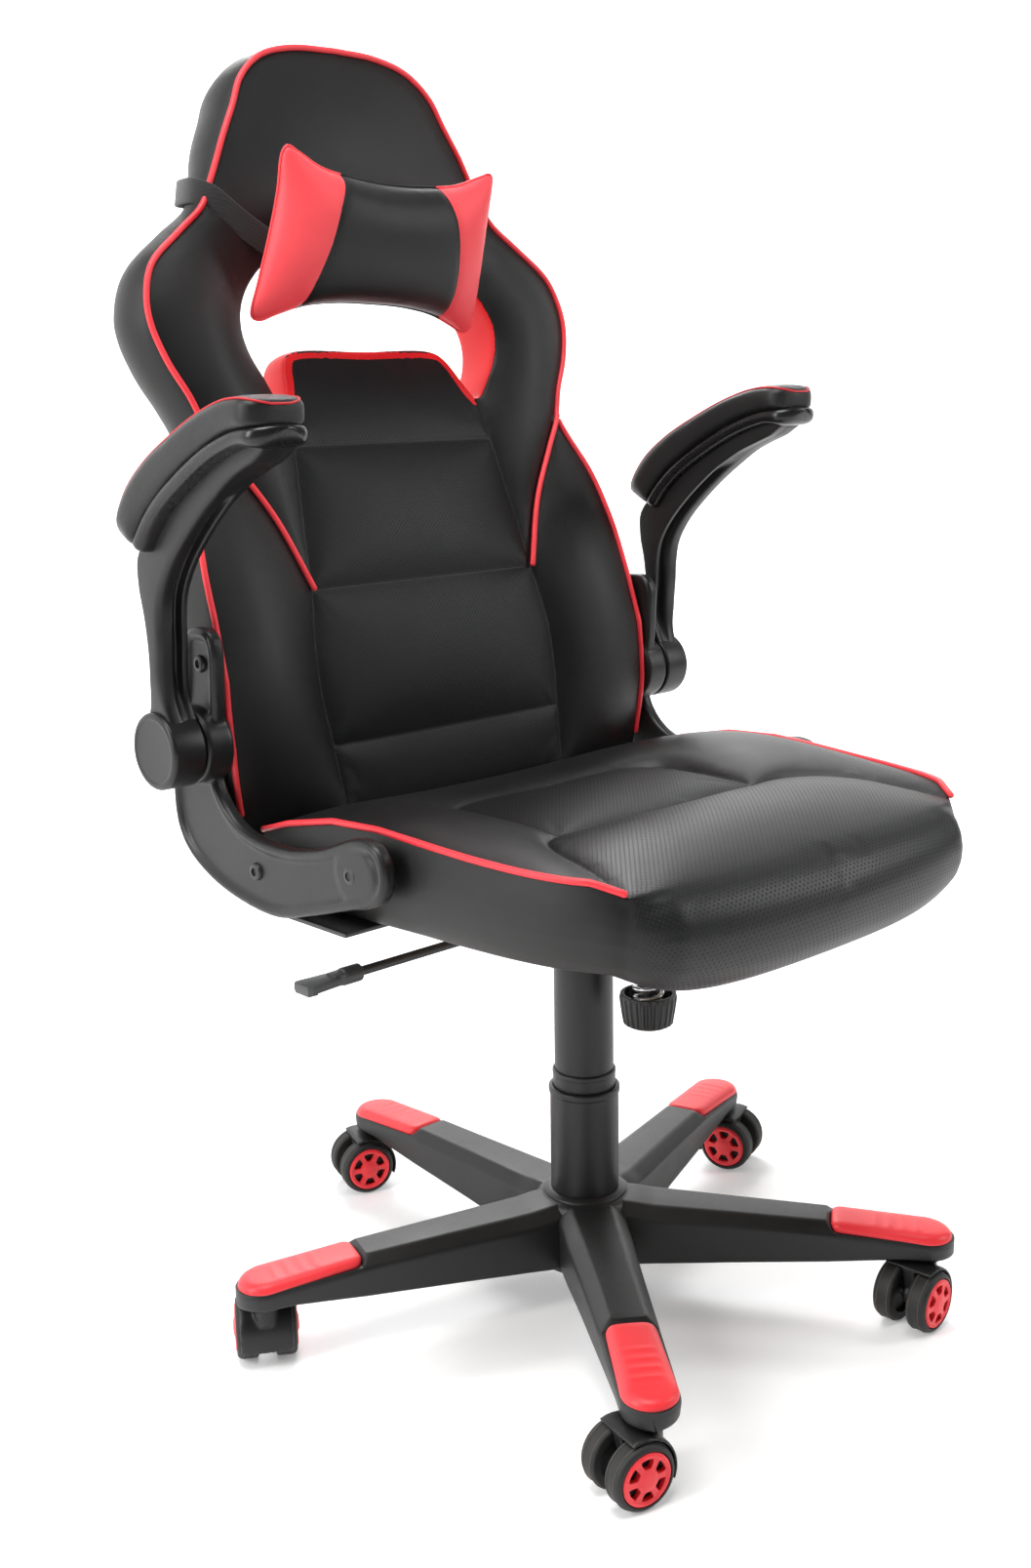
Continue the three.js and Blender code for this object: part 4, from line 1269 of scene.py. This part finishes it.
def arm(side, label):
    """Curved post with a flute down its front face, the pivot barrel at its foot, its pad on top."""
    front, back, run = paired(POST_FRONT, POST_BACK, 4.0)
    loops = []
    for near, far, t in zip(front, back, run):
        depth = np.linalg.norm(far - near)
        toward = (far - near) / depth
        flute = 9.0 * ease((t - 0.08) / 0.14) * ease((0.80 - t) / 0.14) + 0.6
        shelf = 3.5 * ease((t - 0.05) / 0.12) * ease((0.9 - t) / 0.2)
        outer = POST_OUTER - 5.0 * ease((0.22 - t) / 0.14)
        corners = [(outer, 0), (outer, depth), (POST_INNER, depth), (POST_INNER, shelf),
                   (POST_INNER + 5.6, shelf), (POST_INNER + 7.6, flute + shelf * 0.5),
                   (POST_INNER + 12.6, flute), (POST_INNER + 16.0, 0)]
        outline = rounded_loop(corners, [6.0, 4.0, 3.0, 2.2, 1.8, 2.6, 3.0, 5.0], 4)
        place = near + outline[:, 1:2] * toward
        loops.append(np.column_stack([side * outline[:, 0], place]))
    edge = BARREL_RADIUS
    rim = rounded([(0, 0), (edge - 1.5, 0), (edge, 1.6), (edge, 28.8), (edge - 1.8, 30.8),
                   (edge - 5.0, 31.2), (edge - 6.2, 30.6), (0, 30.6)], 1.2, 3)
    barrel = across_chair(turned(rim, 72), side, 281.9, PIVOT[1], PIVOT[2])
    made = add_mesh(f"arm_moulding_{label}", *join_parts([rings(loops), barrel]), [BLACK_NYLON], sharp=50)
    finish_piece(made, "arm_" + label, [f"arm_post_{label}"])
    tray(side, label)
    pad(side, label)


PAD_UNDER = [(2, 804), (16, 804), (36, 801), (69, 790), (105, 772), (139, 751), (162, 731), (180, 708)]
PAD_TOP = [(2, 826), (16, 828), (40, 827), (76, 817), (116, 800), (153, 781), (183, 758), (208, 722)]


def superellipse(angle, power):
    c, s = math.cos(angle), math.sin(angle)
    return math.copysign(abs(c) ** power, c), math.copysign(abs(s) ** power, s)


def tray(side, label):
    """Glossy carrier under the pad, with a rounded nose at the front."""
    under_line, over_line = np.array(PAD_UNDER, float), np.array(PAD_TOP, float)
    under_line[0, 0] -= 6
    over_line[0, 0] -= 6
    front, back, run = paired(under_line + (0, 1), over_line, 3.0)
    loops = []
    for under, over, t in zip(front, back, run):
        up = (over - under) / np.linalg.norm(over - under)
        end = min(t / 0.085, (1 - t) / 0.05, 1.0)
        grow = math.sqrt(max(0.0, 1 - (1 - end) ** 2)) * 0.9 + 0.1
        half_width = 27.5 * grow
        height = (7.5 + 2.5 * ease(1 - t / 0.16)) * grow
        section = []
        for k in range(28):
            across, above = superellipse(2 * math.pi * k / 28, 0.62)
            q = under - up * (height * 0.72) + up * height * above
            section.append((side * (299.5 + across * half_width), q[0], q[1]))
        loops.append(np.array(section))
    made = add_mesh(f"pad_carrier_{label}", *rings(loops), [GLOSS_NYLON], sharp=0)
    finish_piece(made, "arm_" + label)


def pad(side, label):
    """Leather-covered foam pad on the carrier, piped in thin red near the top of its sides."""
    front, back, run = paired(PAD_UNDER, PAD_TOP, 3.0)
    loops, pipes = [], []
    around = 48
    for under, over, t in zip(front, back, run):
        centre = (under + over) / 2
        half_height = np.linalg.norm(over - under) / 2
        up = (over - under) / (2 * half_height)
        end = min(t / 0.085, (1 - t) / 0.075, 1.0)
        grow = math.sqrt(max(0.0, 1 - (1 - end) ** 2))
        half_width = 29.5 * (0.34 + 0.66 * grow)
        half_height *= 0.74 + 0.26 * grow
        section = []
        for k in range(around):
            angle = 2 * math.pi * k / around
            across, above = superellipse(angle, 0.60 if math.sin(angle) > 0 else 0.42)
            q = centre + up * half_height * above
            section.append((side * (300 + across * half_width), q[0], q[1]))
        loops.append(np.array(section))
        across, above = superellipse(math.radians(44), 0.60)
        q = centre + up * (half_height * above + 0.2)
        pipes.append((side * (300 + across * half_width + 0.3), q[0], q[1]))
    made = add_mesh(f"arm_cushion_{label}", *rings(loops), [PAD_LEATHER], sharp=0)
    inflate(made, range(0, around), 2.0, pressure=3.0)
    subdivide(made)
    finish_piece(made, "arm_" + label, [f"arm_pad_{label}"])
    pipes = np.array(pipes)
    inner = pipes.copy()
    inner[:, 0] = side * 600 - inner[:, 0]
    ring = np.vstack([pipes, inner[::-1]])
    welt = add_mesh(f"arm_piping_{label}", *tube(evenly(ring, 4.0, closed=True), 0.9, 8, closed=True),
                    [DARK_PIPING])
    finish_piece(welt, "arm_" + label)


# ---- Base, caps and casters ---------------------------------------------------------------
ARM_ANGLES = []
for number in range(1, 6):
    cap_middle = millimetres(middle(f"arm_cap_{number}"))
    ARM_ANGLES.append(math.atan2(cap_middle[1], cap_middle[0]))
ARM_ANGLES.sort()  # foot rests are numbered in this order, which isn't the order of the arm_cap nodes
STEM_RADIUS = float(np.linalg.norm(millimetres(middle("caster_stem_1"))[:2]))
HUB_BORE = 25.4  # mm, radius
CAP_START = 223.0  # mm from the column's axis to a cap's inner end
GRIP_BARS = (262.0, 274.0, 286.0, 298.0)  # mm, radius of each grip bar on a cap
TIP_HALF = 24.0  # mm, half the width of an arm at its tip


def base_arm(angle):
    """One arm of the base: a ridged top with bevelled flanks, lower and plainer where the cap sits."""
    radii = np.concatenate([np.linspace(HUB_BORE + 1.6, 208, 40), np.linspace(212, 232, 7),
                            np.linspace(238, STEM_RADIUS, 12),
                            STEM_RADIUS + (TIP_HALF + 0.6) * np.sin(np.linspace(0.12, 1.5, 12))])
    loops = []
    for r in radii:
        half = table(r, [(14, 31), (78, 30), (140, 27.5), (228, 25.2), (STEM_RADIUS, TIP_HALF)])
        if r > STEM_RADIUS:
            half = TIP_HALF * math.sqrt(max(0.0025, 1 - ((r - STEM_RADIUS) / (TIP_HALF + 0.7)) ** 2))
        under_cap = ease((r - (CAP_START - 5)) / 8)
        top = table(r, [(14, 112.5), (46, 111.5), (62, 109.8), (222, 106.0), (STEM_RADIUS, 101.0),
                        (332, 99.5)])
        top -= 8.0 * under_cap
        low = table(r, [(14, 50), (70, 56), (222, 69), (285, 76), (340, 76)])
        crown = half * (0.60 + 0.34 * under_cap)
        drop = 9.0 * (1 - under_cap) + 1.5 * under_cap
        corners = [(crown, top), (-crown, top), (-half + 0.8, top - drop), (-half, top - drop - 3.0),
                   (-half + 1.2, low + 2.0), (-half + 4.0, low), (half - 4.0, low), (half - 1.2, low + 2.0),
                   (half, top - drop - 3.0), (half - 0.8, top - drop)]
        outline = rounded_loop(corners, [3.0, 3.0, 1.5, 2.0, 1.5, 2.0, 2.0, 1.5, 2.0, 1.5], 3)
        loops.append(np.column_stack([np.full(len(outline), r), outline]))
    return turned_by(rings(loops), angle)


def base_star():
    """The moulded base: hub with the column's bore, collar, five arms and the casters' sockets."""
    hub = turned_ring(rounded([(HUB_BORE, 46), (43, 46), (47, 52), (49, 98), (43, 110.5), (36, 113.5),
                               (HUB_BORE, 113.5)], 3), 96)
    collar = turned_ring(rounded([(HUB_BORE, 100), (38, 100), (38, 114.5), (33, 117),
                                  (HUB_BORE, 117)], 1.5), 96)
    parts = [base_arm(angle) for angle in ARM_ANGLES] + [hub, collar]
    for angle in ARM_ANGLES:
        socket = turned(rounded([(0, 71), (14, 71), (16.5, 74), (20, 82), (20, 90), (0, 90)], 1.5), 48)
        parts.append(moved(socket, (STEM_RADIUS * math.cos(angle), STEM_RADIUS * math.sin(angle), 0)))
    made = add_mesh("base_moulding", *join_parts(parts), [BASE_NYLON], sharp=32)
    finish_piece(made, "base", ["star_base"])


def cap(number, angle):
    """Coral foot rest over an arm's end, with four low grip bars."""
    start, corner = CAP_START, 9.0
    inner_half, outer_half = 20.5, TIP_HALF - 1.4
    outline = []
    for a in np.linspace(math.pi, math.pi / 2, 6):
        across = inner_half - corner + corner * math.sin(a)
        outline.append((start + corner + corner * math.cos(a), -across))
    for a in np.linspace(-math.pi / 2, math.pi / 2, 21):
        outline.append((STEM_RADIUS + outer_half * math.cos(a), outer_half * math.sin(a)))
    for a in np.linspace(math.pi / 2, math.pi, 6):
        outline.append((start + corner + corner * math.cos(a), inner_half - corner + corner * math.sin(a)))
    outline = evenly(np.array(outline), 3.0, closed=True)
    rows = [outline - normals_2d(outline) * gap for gap in (1.0, 2.2, 3.8, 6.0)]
    points, triangles, loop_ids, _ = triangulated([outline], [], 3.0, rows)
    rim = rim_distance(points, outline)
    along_arm = (points[:, 0] - start) / (STEM_RADIUS - start)
    crest = table(along_arm, [(0, 106.4), (1, 101.2), (1.3, 98.0)])
    roll = 8.0
    edge = np.clip(rim / roll, 0, 1)
    drop = table(along_arm, [(0, 4.0), (1, 6.5), (1.3, 6.0)]) * (1 - np.sqrt(1 - (1 - edge) ** 2))
    level = crest - drop - 1.2 * (np.abs(points[:, 1]) / outer_half) ** 2
    across = ease((14.5 - np.abs(points[:, 1])) / 3.0)
    for bar in GRIP_BARS:
        level += 0.8 * np.exp(-(((points[:, 0] - bar) / 2.0) ** 2)) * across
    bottom = table(along_arm, [(0, 97.0), (1, 91.8), (1.3, 90.0)])
    ids = np.asarray(loop_ids[0])
    sides = []
    for k in (1, 2):
        sides.append(np.column_stack([points[ids], level[ids] * (1 - k / 3) + bottom[ids] * k / 3]))
    part = padded_shell(np.column_stack([points, level]), np.column_stack([points, bottom]), triangles,
                        loop_ids, [sides])[:2]
    made = add_mesh(f"foot_rest_{number}", *turned_by(part, angle), [RED_PLASTIC], sharp=50)
    finish_piece(made, "base", [f"arm_cap_{number}"])


WHEEL_RADIUS = 27.0
DISC_RADIUS = 21.6


def wheel(number, label, side):
    """Tread, side disc with six windows, and thin pale rings round the tread's edges: a painted highlight
    where its shoulders catch the light.
    """
    node = f"wheel_{number}_{label}"
    _, centre, axle = caster_frame(number)
    outward = axle * side
    edge = WHEEL_RADIUS
    profile = rounded([(edge - 8, 7.4), (edge - 1.4, 7.4), (edge, 9.2), (edge, 21.8), (edge - 1.2, 24.6),
                       (edge - 3.6, 25.9), (edge - 4.6, 25.9), (edge - 4.6, 21.6), (edge - 8, 21.6)], 1.2, 3)
    tread = turned_ring(profile, 56)
    web = turned(rounded([(0, 11.8), (edge - 7, 11.8), (edge - 7, 21.2), (0, 21.2)], 0.5, 2), 56)
    points, faces = join_parts([tread, web])
    made = add_mesh(f"tyre_{number}_{label}", on_axle(points, centre, outward), faces, [TREAD])
    finish_piece(made, node, [node])
    # Painted highlight: two thin pale rings just proud of the tread, along both its edges.
    highlight_rings = []
    turn = np.arange(56) * 2 * math.pi / 56
    for at in (10.6, 20.4):
        r = edge + 0.05
        path = np.stack([r * np.cos(turn), r * np.sin(turn), np.full(56, at)], 1)
        highlight_rings.append(tube(path, 0.45, 6, closed=True))
    points, faces = join_parts(highlight_rings)
    lines = add_mesh(f"tyre_highlight_line_{number}_{label}", on_axle(points, centre, outward), faces, [TREAD_EDGE_HIGHLIGHT])
    finish_piece(lines, node)
    disc = hub_disc()
    made = add_mesh(f"hub_disc_{number}_{label}", on_axle(disc[0], centre, outward), disc[1], [RED_PLASTIC],
                    sharp=30)
    finish_piece(made, node)


def hub_disc():
    """Red trim disc: rim, centre and six spokes, with a window between each two spokes."""
    rim_points = evenly(np.array([(DISC_RADIUS * math.cos(a), DISC_RADIUS * math.sin(a))
                                  for a in np.linspace(0, 2 * math.pi, 61)[:-1]]), 2.2, closed=True)
    windows = []
    for k in range(6):
        a = k * math.pi / 3
        outline = []
        for t in np.linspace(-0.33, 0.33, 7):
            outline.append((17.0 * math.cos(a + t), 17.0 * math.sin(a + t)))
        for t in (0.17, 0, -0.17):
            outline.append((9.4 * math.cos(a + t * 1.4), 9.4 * math.sin(a + t * 1.4)))
        windows.append(evenly(smooth_curve(np.array(outline), closed=True), 1.6, closed=True))
    points, triangles, loop_ids, _ = triangulated([rim_points] + windows, [], 2.4)
    radius = np.linalg.norm(points, axis=1)
    level = table(radius, [(0, 28.4), (6.2, 28.2), (7.2, 27.2), (17.0, 26.0), (18.6, 27.0), (20.4, 26.6),
                           (DISC_RADIUS, 25.6)])
    floor = np.full(len(points), 22.0)
    sides = []
    for ids in loop_ids:
        ids = np.asarray(ids)
        sides.append([np.column_stack([points[ids], (level[ids] + floor[ids]) / 2])])
    return padded_shell(np.column_stack([points, level]), np.column_stack([points, floor]), triangles,
                        loop_ids, sides)[:2]


def caster_frame(number):
    """Stem place, wheel centre and axle direction of a caster, from the frame."""
    stem = millimetres(middle(f"caster_stem_{number}"))
    centre = millimetres(middle(f"caster_axle_{number}"))
    trail = centre[:2] - stem[:2]
    trail /= np.linalg.norm(trail)
    axle = np.array([-trail[1], trail[0], 0.0])
    return stem, centre, axle


def on_axle(points, centre, outward):
    """Turned points (axis along Z from the caster's middle) set along the axle."""
    z_axis = np.asarray(outward, float)
    x_axis = np.array([0, 0, 1.0])
    y_axis = np.cross(z_axis, x_axis)
    return centre + points[:, :1] * x_axis + points[:, 1:2] * y_axis + points[:, 2:3] * z_axis


HOOD_INNER, HOOD_OUTER, HOOD_HALF = 28.7, 31.2, 23.0
HOOD_FROM, HOOD_TO = 70.0, 202.0  # degrees round the axle, from the trailing side over to the stem side
UP = np.array([0, 0, 1.0])


def caster(number):
    """Hood over the twin wheels with its web and stem housing."""
    stem, centre, axle = caster_frame(number)
    trail = np.array([axle[1], -axle[0], 0.0])
    half = HOOD_HALF

    def hood_point(angle, radius, across):
        return centre + trail * radius * math.cos(angle) + UP * radius * math.sin(angle) + axle * across

    section = rounded_loop([(-half, HOOD_INNER), (-half, HOOD_OUTER - 1.2), (-half + 3.5, HOOD_OUTER),
                            (half - 3.5, HOOD_OUTER), (half, HOOD_OUTER - 1.2), (half, HOOD_INNER),
                            (half - 2.5, HOOD_INNER - 0.4), (-half + 2.5, HOOD_INNER - 0.4)],
                           [0.6, 1.0, 2.0, 2.0, 1.0, 0.6, 0.4, 0.4], 2)
    loops, plate = [], []
    for a in np.linspace(math.radians(HOOD_FROM), math.radians(HOOD_TO), 40):
        loops.append(np.array([hood_point(a, radius, across) for across, radius in section]))
        plate.append(((HOOD_OUTER - 0.8) * math.cos(a), (HOOD_OUTER - 0.8) * math.sin(a)))
    hood = rings(loops)
    for a in np.linspace(math.radians(HOOD_TO), math.radians(HOOD_FROM + 360), 14)[1:-1]:
        plate.append((9.0 * math.cos(a), 9.0 * math.sin(a)))
    web = slab(evenly(np.array(plate), 3.0, closed=True), -6.2, 6.2, 0.8, 2,
               lambda p: centre + p[:, :1] * trail + p[:, 1:2] * UP - p[:, 2:3] * axle)
    housing = turned(rounded([(0, 56), (10.5, 56), (10.5, 72.5), (9.0, 74.0), (0, 74.0)], 1.0, 2), 36)
    points, faces = join_parts([hood, web, moved(housing, (stem[0], stem[1], 0))])
    made = add_mesh(f"caster_hood_{number}", points, faces, [CASTER_NYLON], sharp=0)
    melt(made, 1.2, 3)
    finish_piece(made, f"caster_{number}", [f"caster_body_{number}"])
    for label, side in (("right", 1), ("left", -1)):
        wheel(number, label, side)


# ---- Column, knob, spring, lever ----------------------------------------------------------
def column():
    """The three telescopic sleeves round the gas lift."""
    lower = rounded([(28.7, 112.6), (31.0, 112.6), (31.0, 208.5), (32.2, 209.5), (32.2, 214.2),
                     (31.2, 215.2), (28.9, 215.2)], 0.8, 3)
    middle_part = rounded([(27.0, 171), (28.2, 171), (28.2, 226), (28.6, 227), (28.6, 230.2), (28.0, 231),
                           (27.0, 231)], 0.5, 2)
    upper = rounded([(25.4, 185), (26.6, 185), (26.6, 343), (25.9, 344), (25.4, 344)], 0.4, 2)
    for name, body, profile, node in (("sleeve_lower", "base", lower, "cover_lower"),
                                      ("sleeve_middle", "cover_middle", middle_part, "cover_middle"),
                                      ("sleeve_upper", "seat_column", upper, "cover_upper")):
        made = add_mesh(name, *turned_ring(profile, 96), [BASE_NYLON])
        finish_piece(made, body, [node])


def knob():
    """Ribbed tension knob and its threaded stud."""
    centre = millimetres(middle("tension_knob"))[:2]
    profile = rounded([(0, 292.3), (17.5, 292.3), (20.8, 294.2), (22.6, 305), (24.2, 317), (24.2, 321.5),
                       (20.9, 321.5), (18.2, 300), (5.2, 299.3), (5.2, 300.5)], 0.8, 3)
    segments = 144
    turn = np.arange(segments) * 2 * math.pi / segments
    ribs = np.clip(np.cos(turn * 24) * 2.2, -1, 1) * 0.75
    loops = []
    for k, (r, z) in enumerate(profile):
        grip = 1.0 if r > 18.6 and 294.5 < z < 320.5 and k < len(profile) * 0.62 else 0.0
        radius = np.maximum(r + ribs * grip, 0.02)
        loops.append(np.stack([centre[0] + radius * np.cos(turn), centre[1] + radius * np.sin(turn),
                               np.full(segments, z)], 1))
    bolt = moved(turned(rounded([(0, 299), (5, 299), (5, 412.6), (0, 412.6)], 0.5, 2), 32), (*centre, 0))
    made = add_mesh("knob_grip", *rings(loops), [BLACK_NYLON], sharp=30)
    finish_piece(made, "tension_knob", ["tension_knob"])
    stud = add_mesh("knob_stud", *bolt, [BRIGHT_STEEL])
    finish_piece(stud, "tension_knob")


def spring():
    """Tilt spring: a coil that rides with the seat frame."""
    low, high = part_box("tension_spring")
    centre = millimetres((low + high) / 2)
    bottom, top = millimetres(low)[2] + 4.4, millimetres(high)[2] - 2.2
    turns = 5
    steps = np.arange(turns * 24 + 1)
    angle = steps / 24 * 2 * math.pi
    path = np.stack([centre[0] + 12 * np.cos(angle), centre[1] + 12 * np.sin(angle),
                     bottom + (top - bottom) * steps / (turns * 24)], 1)
    made = add_mesh("spring_coil", *tube(path, 2.1, 12), [BRIGHT_STEEL])
    finish_piece(made, "seat_frame", ["tension_spring"])
    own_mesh(made)


def lever():
    """Height lever: wire rod with a flat paddle on its end."""
    low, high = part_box("lever_rod")
    y, z = millimetres((low + high) / 2)[1:]
    start, end = millimetres(high)[0], millimetres(low)[0]
    path = np.array([(start - 2, y, z), (-120, y, z), (end + 8, y, z)])
    rod = add_mesh("lever_wire", *tube(evenly(path, 8.0), 3.9, 16), [BLACK_STEEL])
    finish_piece(rod, "lever", ["lever_rod"])
    collar = rod_between((-236, 0, 0), (-254, 0, 0), 7.4, 28, 1.2)
    neck = slab([(-264, -6.2), (-252, -6.8), (-252, 6.8), (-264, 6.2)], -4.6, 4.6, 1.0, 2)
    plate = slab([(-293.5, -9.0), (-290, -11.8), (-263, -9.4), (-259, -6.4), (-259, 6.4), (-263, 9.4),
                  (-290, 11.8), (-293.5, 9.0)], -3.4, 3.4, 1.0, 2)
    step = slab([(-293, -8.6), (-284, -9.4), (-284, 9.4), (-293, 8.6)], -5.2, 3.0, 0.8, 2)
    points, faces = join_parts([collar, neck, plate, step])
    grip = add_mesh("lever_grip", points + [0, y, z], faces, [GREY_PLASTIC], sharp=35)
    finish_piece(grip, "lever", ["lever_handle"])


# ---- Carried-over frame nodes -------------------------------------------------------------
def carry_over():
    """Gives each frame node that still shows a fitting procedural material."""
    looks = {"column_outer_tube": BLACK_STEEL, "piston_rod": BRIGHT_STEEL, "gas_cylinder": BLACK_STEEL,
             "release_button": BRIGHT_STEEL, "tilt_housing": BLACK_STEEL, "tilt_pin": BRIGHT_STEEL,
             "seat_plate": BLACK_STEEL, "seat_board": PLYWOOD, "lever_bush": BLACK_NYLON}
    for number in range(1, 6):
        looks[f"caster_stem_{number}"] = BRIGHT_STEEL
        looks[f"caster_axle_{number}"] = BRIGHT_STEEL
    for label in ("left", "right"):
        looks[f"arm_pivot_pin_{label}"] = BRIGHT_STEEL
    for node, material in looks.items():
        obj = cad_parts[node]
        obj.data.materials.clear()
        obj.data.materials.append(material)


# ---- Stage, light and camera --------------------------------------------------------------
FLOOR_GLOW, WALL_GLOW = 0.20, 1.02
WALL_ARC = 150  # degrees of wall, from the sitter's left round the back


def stage():
    """Pale floor and a white wall behind the chair, glowing a little so that both read as plain white."""
    n = Nodes("studio_floor", 0.6)
    n.colour(n.blend(n.remap(n.noise(0.7, 2.0), 0.3, 0.7), (0.88, 0.88, 0.88), (0.90, 0.90, 0.90)))
    n.set("Emission Color", (1.0, 1.0, 1.0, 1.0))
    length = n.add("ShaderNodeVectorMath", operation="LENGTH")
    n.link(n.place, length.inputs[0])
    n.link(n.remap(length.outputs["Value"], 0.5, 3.5, FLOOR_GLOW, WALL_GLOW, smooth=True),
           n.shader.inputs["Emission Strength"])
    wall = rounded([(0.0, 0.0), (6.5, 0.0), (6.5, 7.0)], 2.5, 12)
    turn = np.radians(np.arange(0, 361, 6))
    points, faces = [], []
    for a in turn[:-1]:
        points += [(r * math.cos(a), r * math.sin(a), z) for r, z in wall]
    count, rounds = len(wall), len(turn) - 1
    for k in range(rounds):
        facing = 0 <= math.degrees(turn[k]) < WALL_ARC
        for j in range(count - 1):
            if j == 0 or facing:
                a, b = k * count + j, (k + 1) % rounds * count + j
                faces.append((a, b, b + 1, a + 1))
    mesh = bpy.data.meshes.new("studio_floor")
    mesh.from_pydata(points, [], faces)
    mesh.materials.append(n.material)
    mesh.shade_smooth()
    floor = bpy.data.objects.new("studio_floor", mesh)
    bpy.context.scene.collection.objects.link(floor)


def area_light(name, place, target, size, power):
    data = bpy.data.lights.new(name, "AREA")
    data.shape = "RECTANGLE"
    data.size, data.size_y = size
    data.energy = power
    light = bpy.data.objects.new(name, data)
    light.location = place
    light.rotation_mode = "QUATERNION"
    light.rotation_quaternion = (Vector(target) - Vector(place)).to_track_quat("-Z", "Y")
    bpy.context.scene.collection.objects.link(light)


def lights():
    world = bpy.data.worlds.new("studio")
    world.use_nodes = True
    background = world.node_tree.nodes["Background"]
    background.inputs["Color"].default_value = (1.0, 1.0, 1.0, 1.0)
    background.inputs["Strength"].default_value = 0.10
    bpy.context.scene.world = world
    centre = (0, 0, 0.6)
    area_light("overhead", (-0.5, -0.2, 3.0), centre, (1.5, 1.5), 80)
    area_light("left_window", (-2.6, 0.4, 1.7), centre, (0.7, 2.0), 62)
    area_light("right_window", (2.2, -2.0, 1.8), centre, (0.6, 1.6), 34)
    area_light("rear_top", (1.4, 2.0, 2.6), centre, (1.4, 0.9), 60)


CAMERA_PLACE = (-1047.5, -1031.1, 831.9)  # mm, column frame
CAMERA_AZIMUTH = math.radians(-43.199)
CAMERA_PITCH = math.radians(12.963)
CAMERA_ROLL = -0.01623
CAMERA_LENS = 39.81  # mm


def camera():
    data = bpy.data.cameras.new("camera")
    data.lens = CAMERA_LENS
    data.sensor_width = 36.0
    data.clip_start = 0.05
    cam = bpy.data.objects.new("camera", data)
    az, pitch, roll = CAMERA_AZIMUTH, CAMERA_PITCH, CAMERA_ROLL
    ahead = Vector((-math.sin(az) * math.cos(pitch), math.cos(az) * math.cos(pitch), -math.sin(pitch)))
    level_right = Vector((math.cos(az), math.sin(az), 0.0))
    level_up = level_right.cross(ahead)
    right = level_right * math.cos(roll) + level_up * math.sin(roll)
    up = level_up * math.cos(roll) - level_right * math.sin(roll)
    turn = Matrix((right, up, -ahead)).transposed()
    cam.matrix_world = Matrix.Translation(Vector(metres(CAMERA_PLACE))) @ turn.to_4x4()
    bpy.context.scene.collection.objects.link(cam)
    bpy.context.scene.camera = cam


bpy.context.scene.view_settings.view_transform = "Standard"
camera()
lights()
stage()
backrest()
back_piping()
seat()
pillow()
strap()
for side, label in ((1, "left"), (-1, "right")):
    bracket(side, label)
    arm(side, label)
for number, angle in enumerate(ARM_ANGLES, 1):
    cap(number, angle)
    caster(number)
base_star()
column()
knob()
spring()
lever()
carry_over()
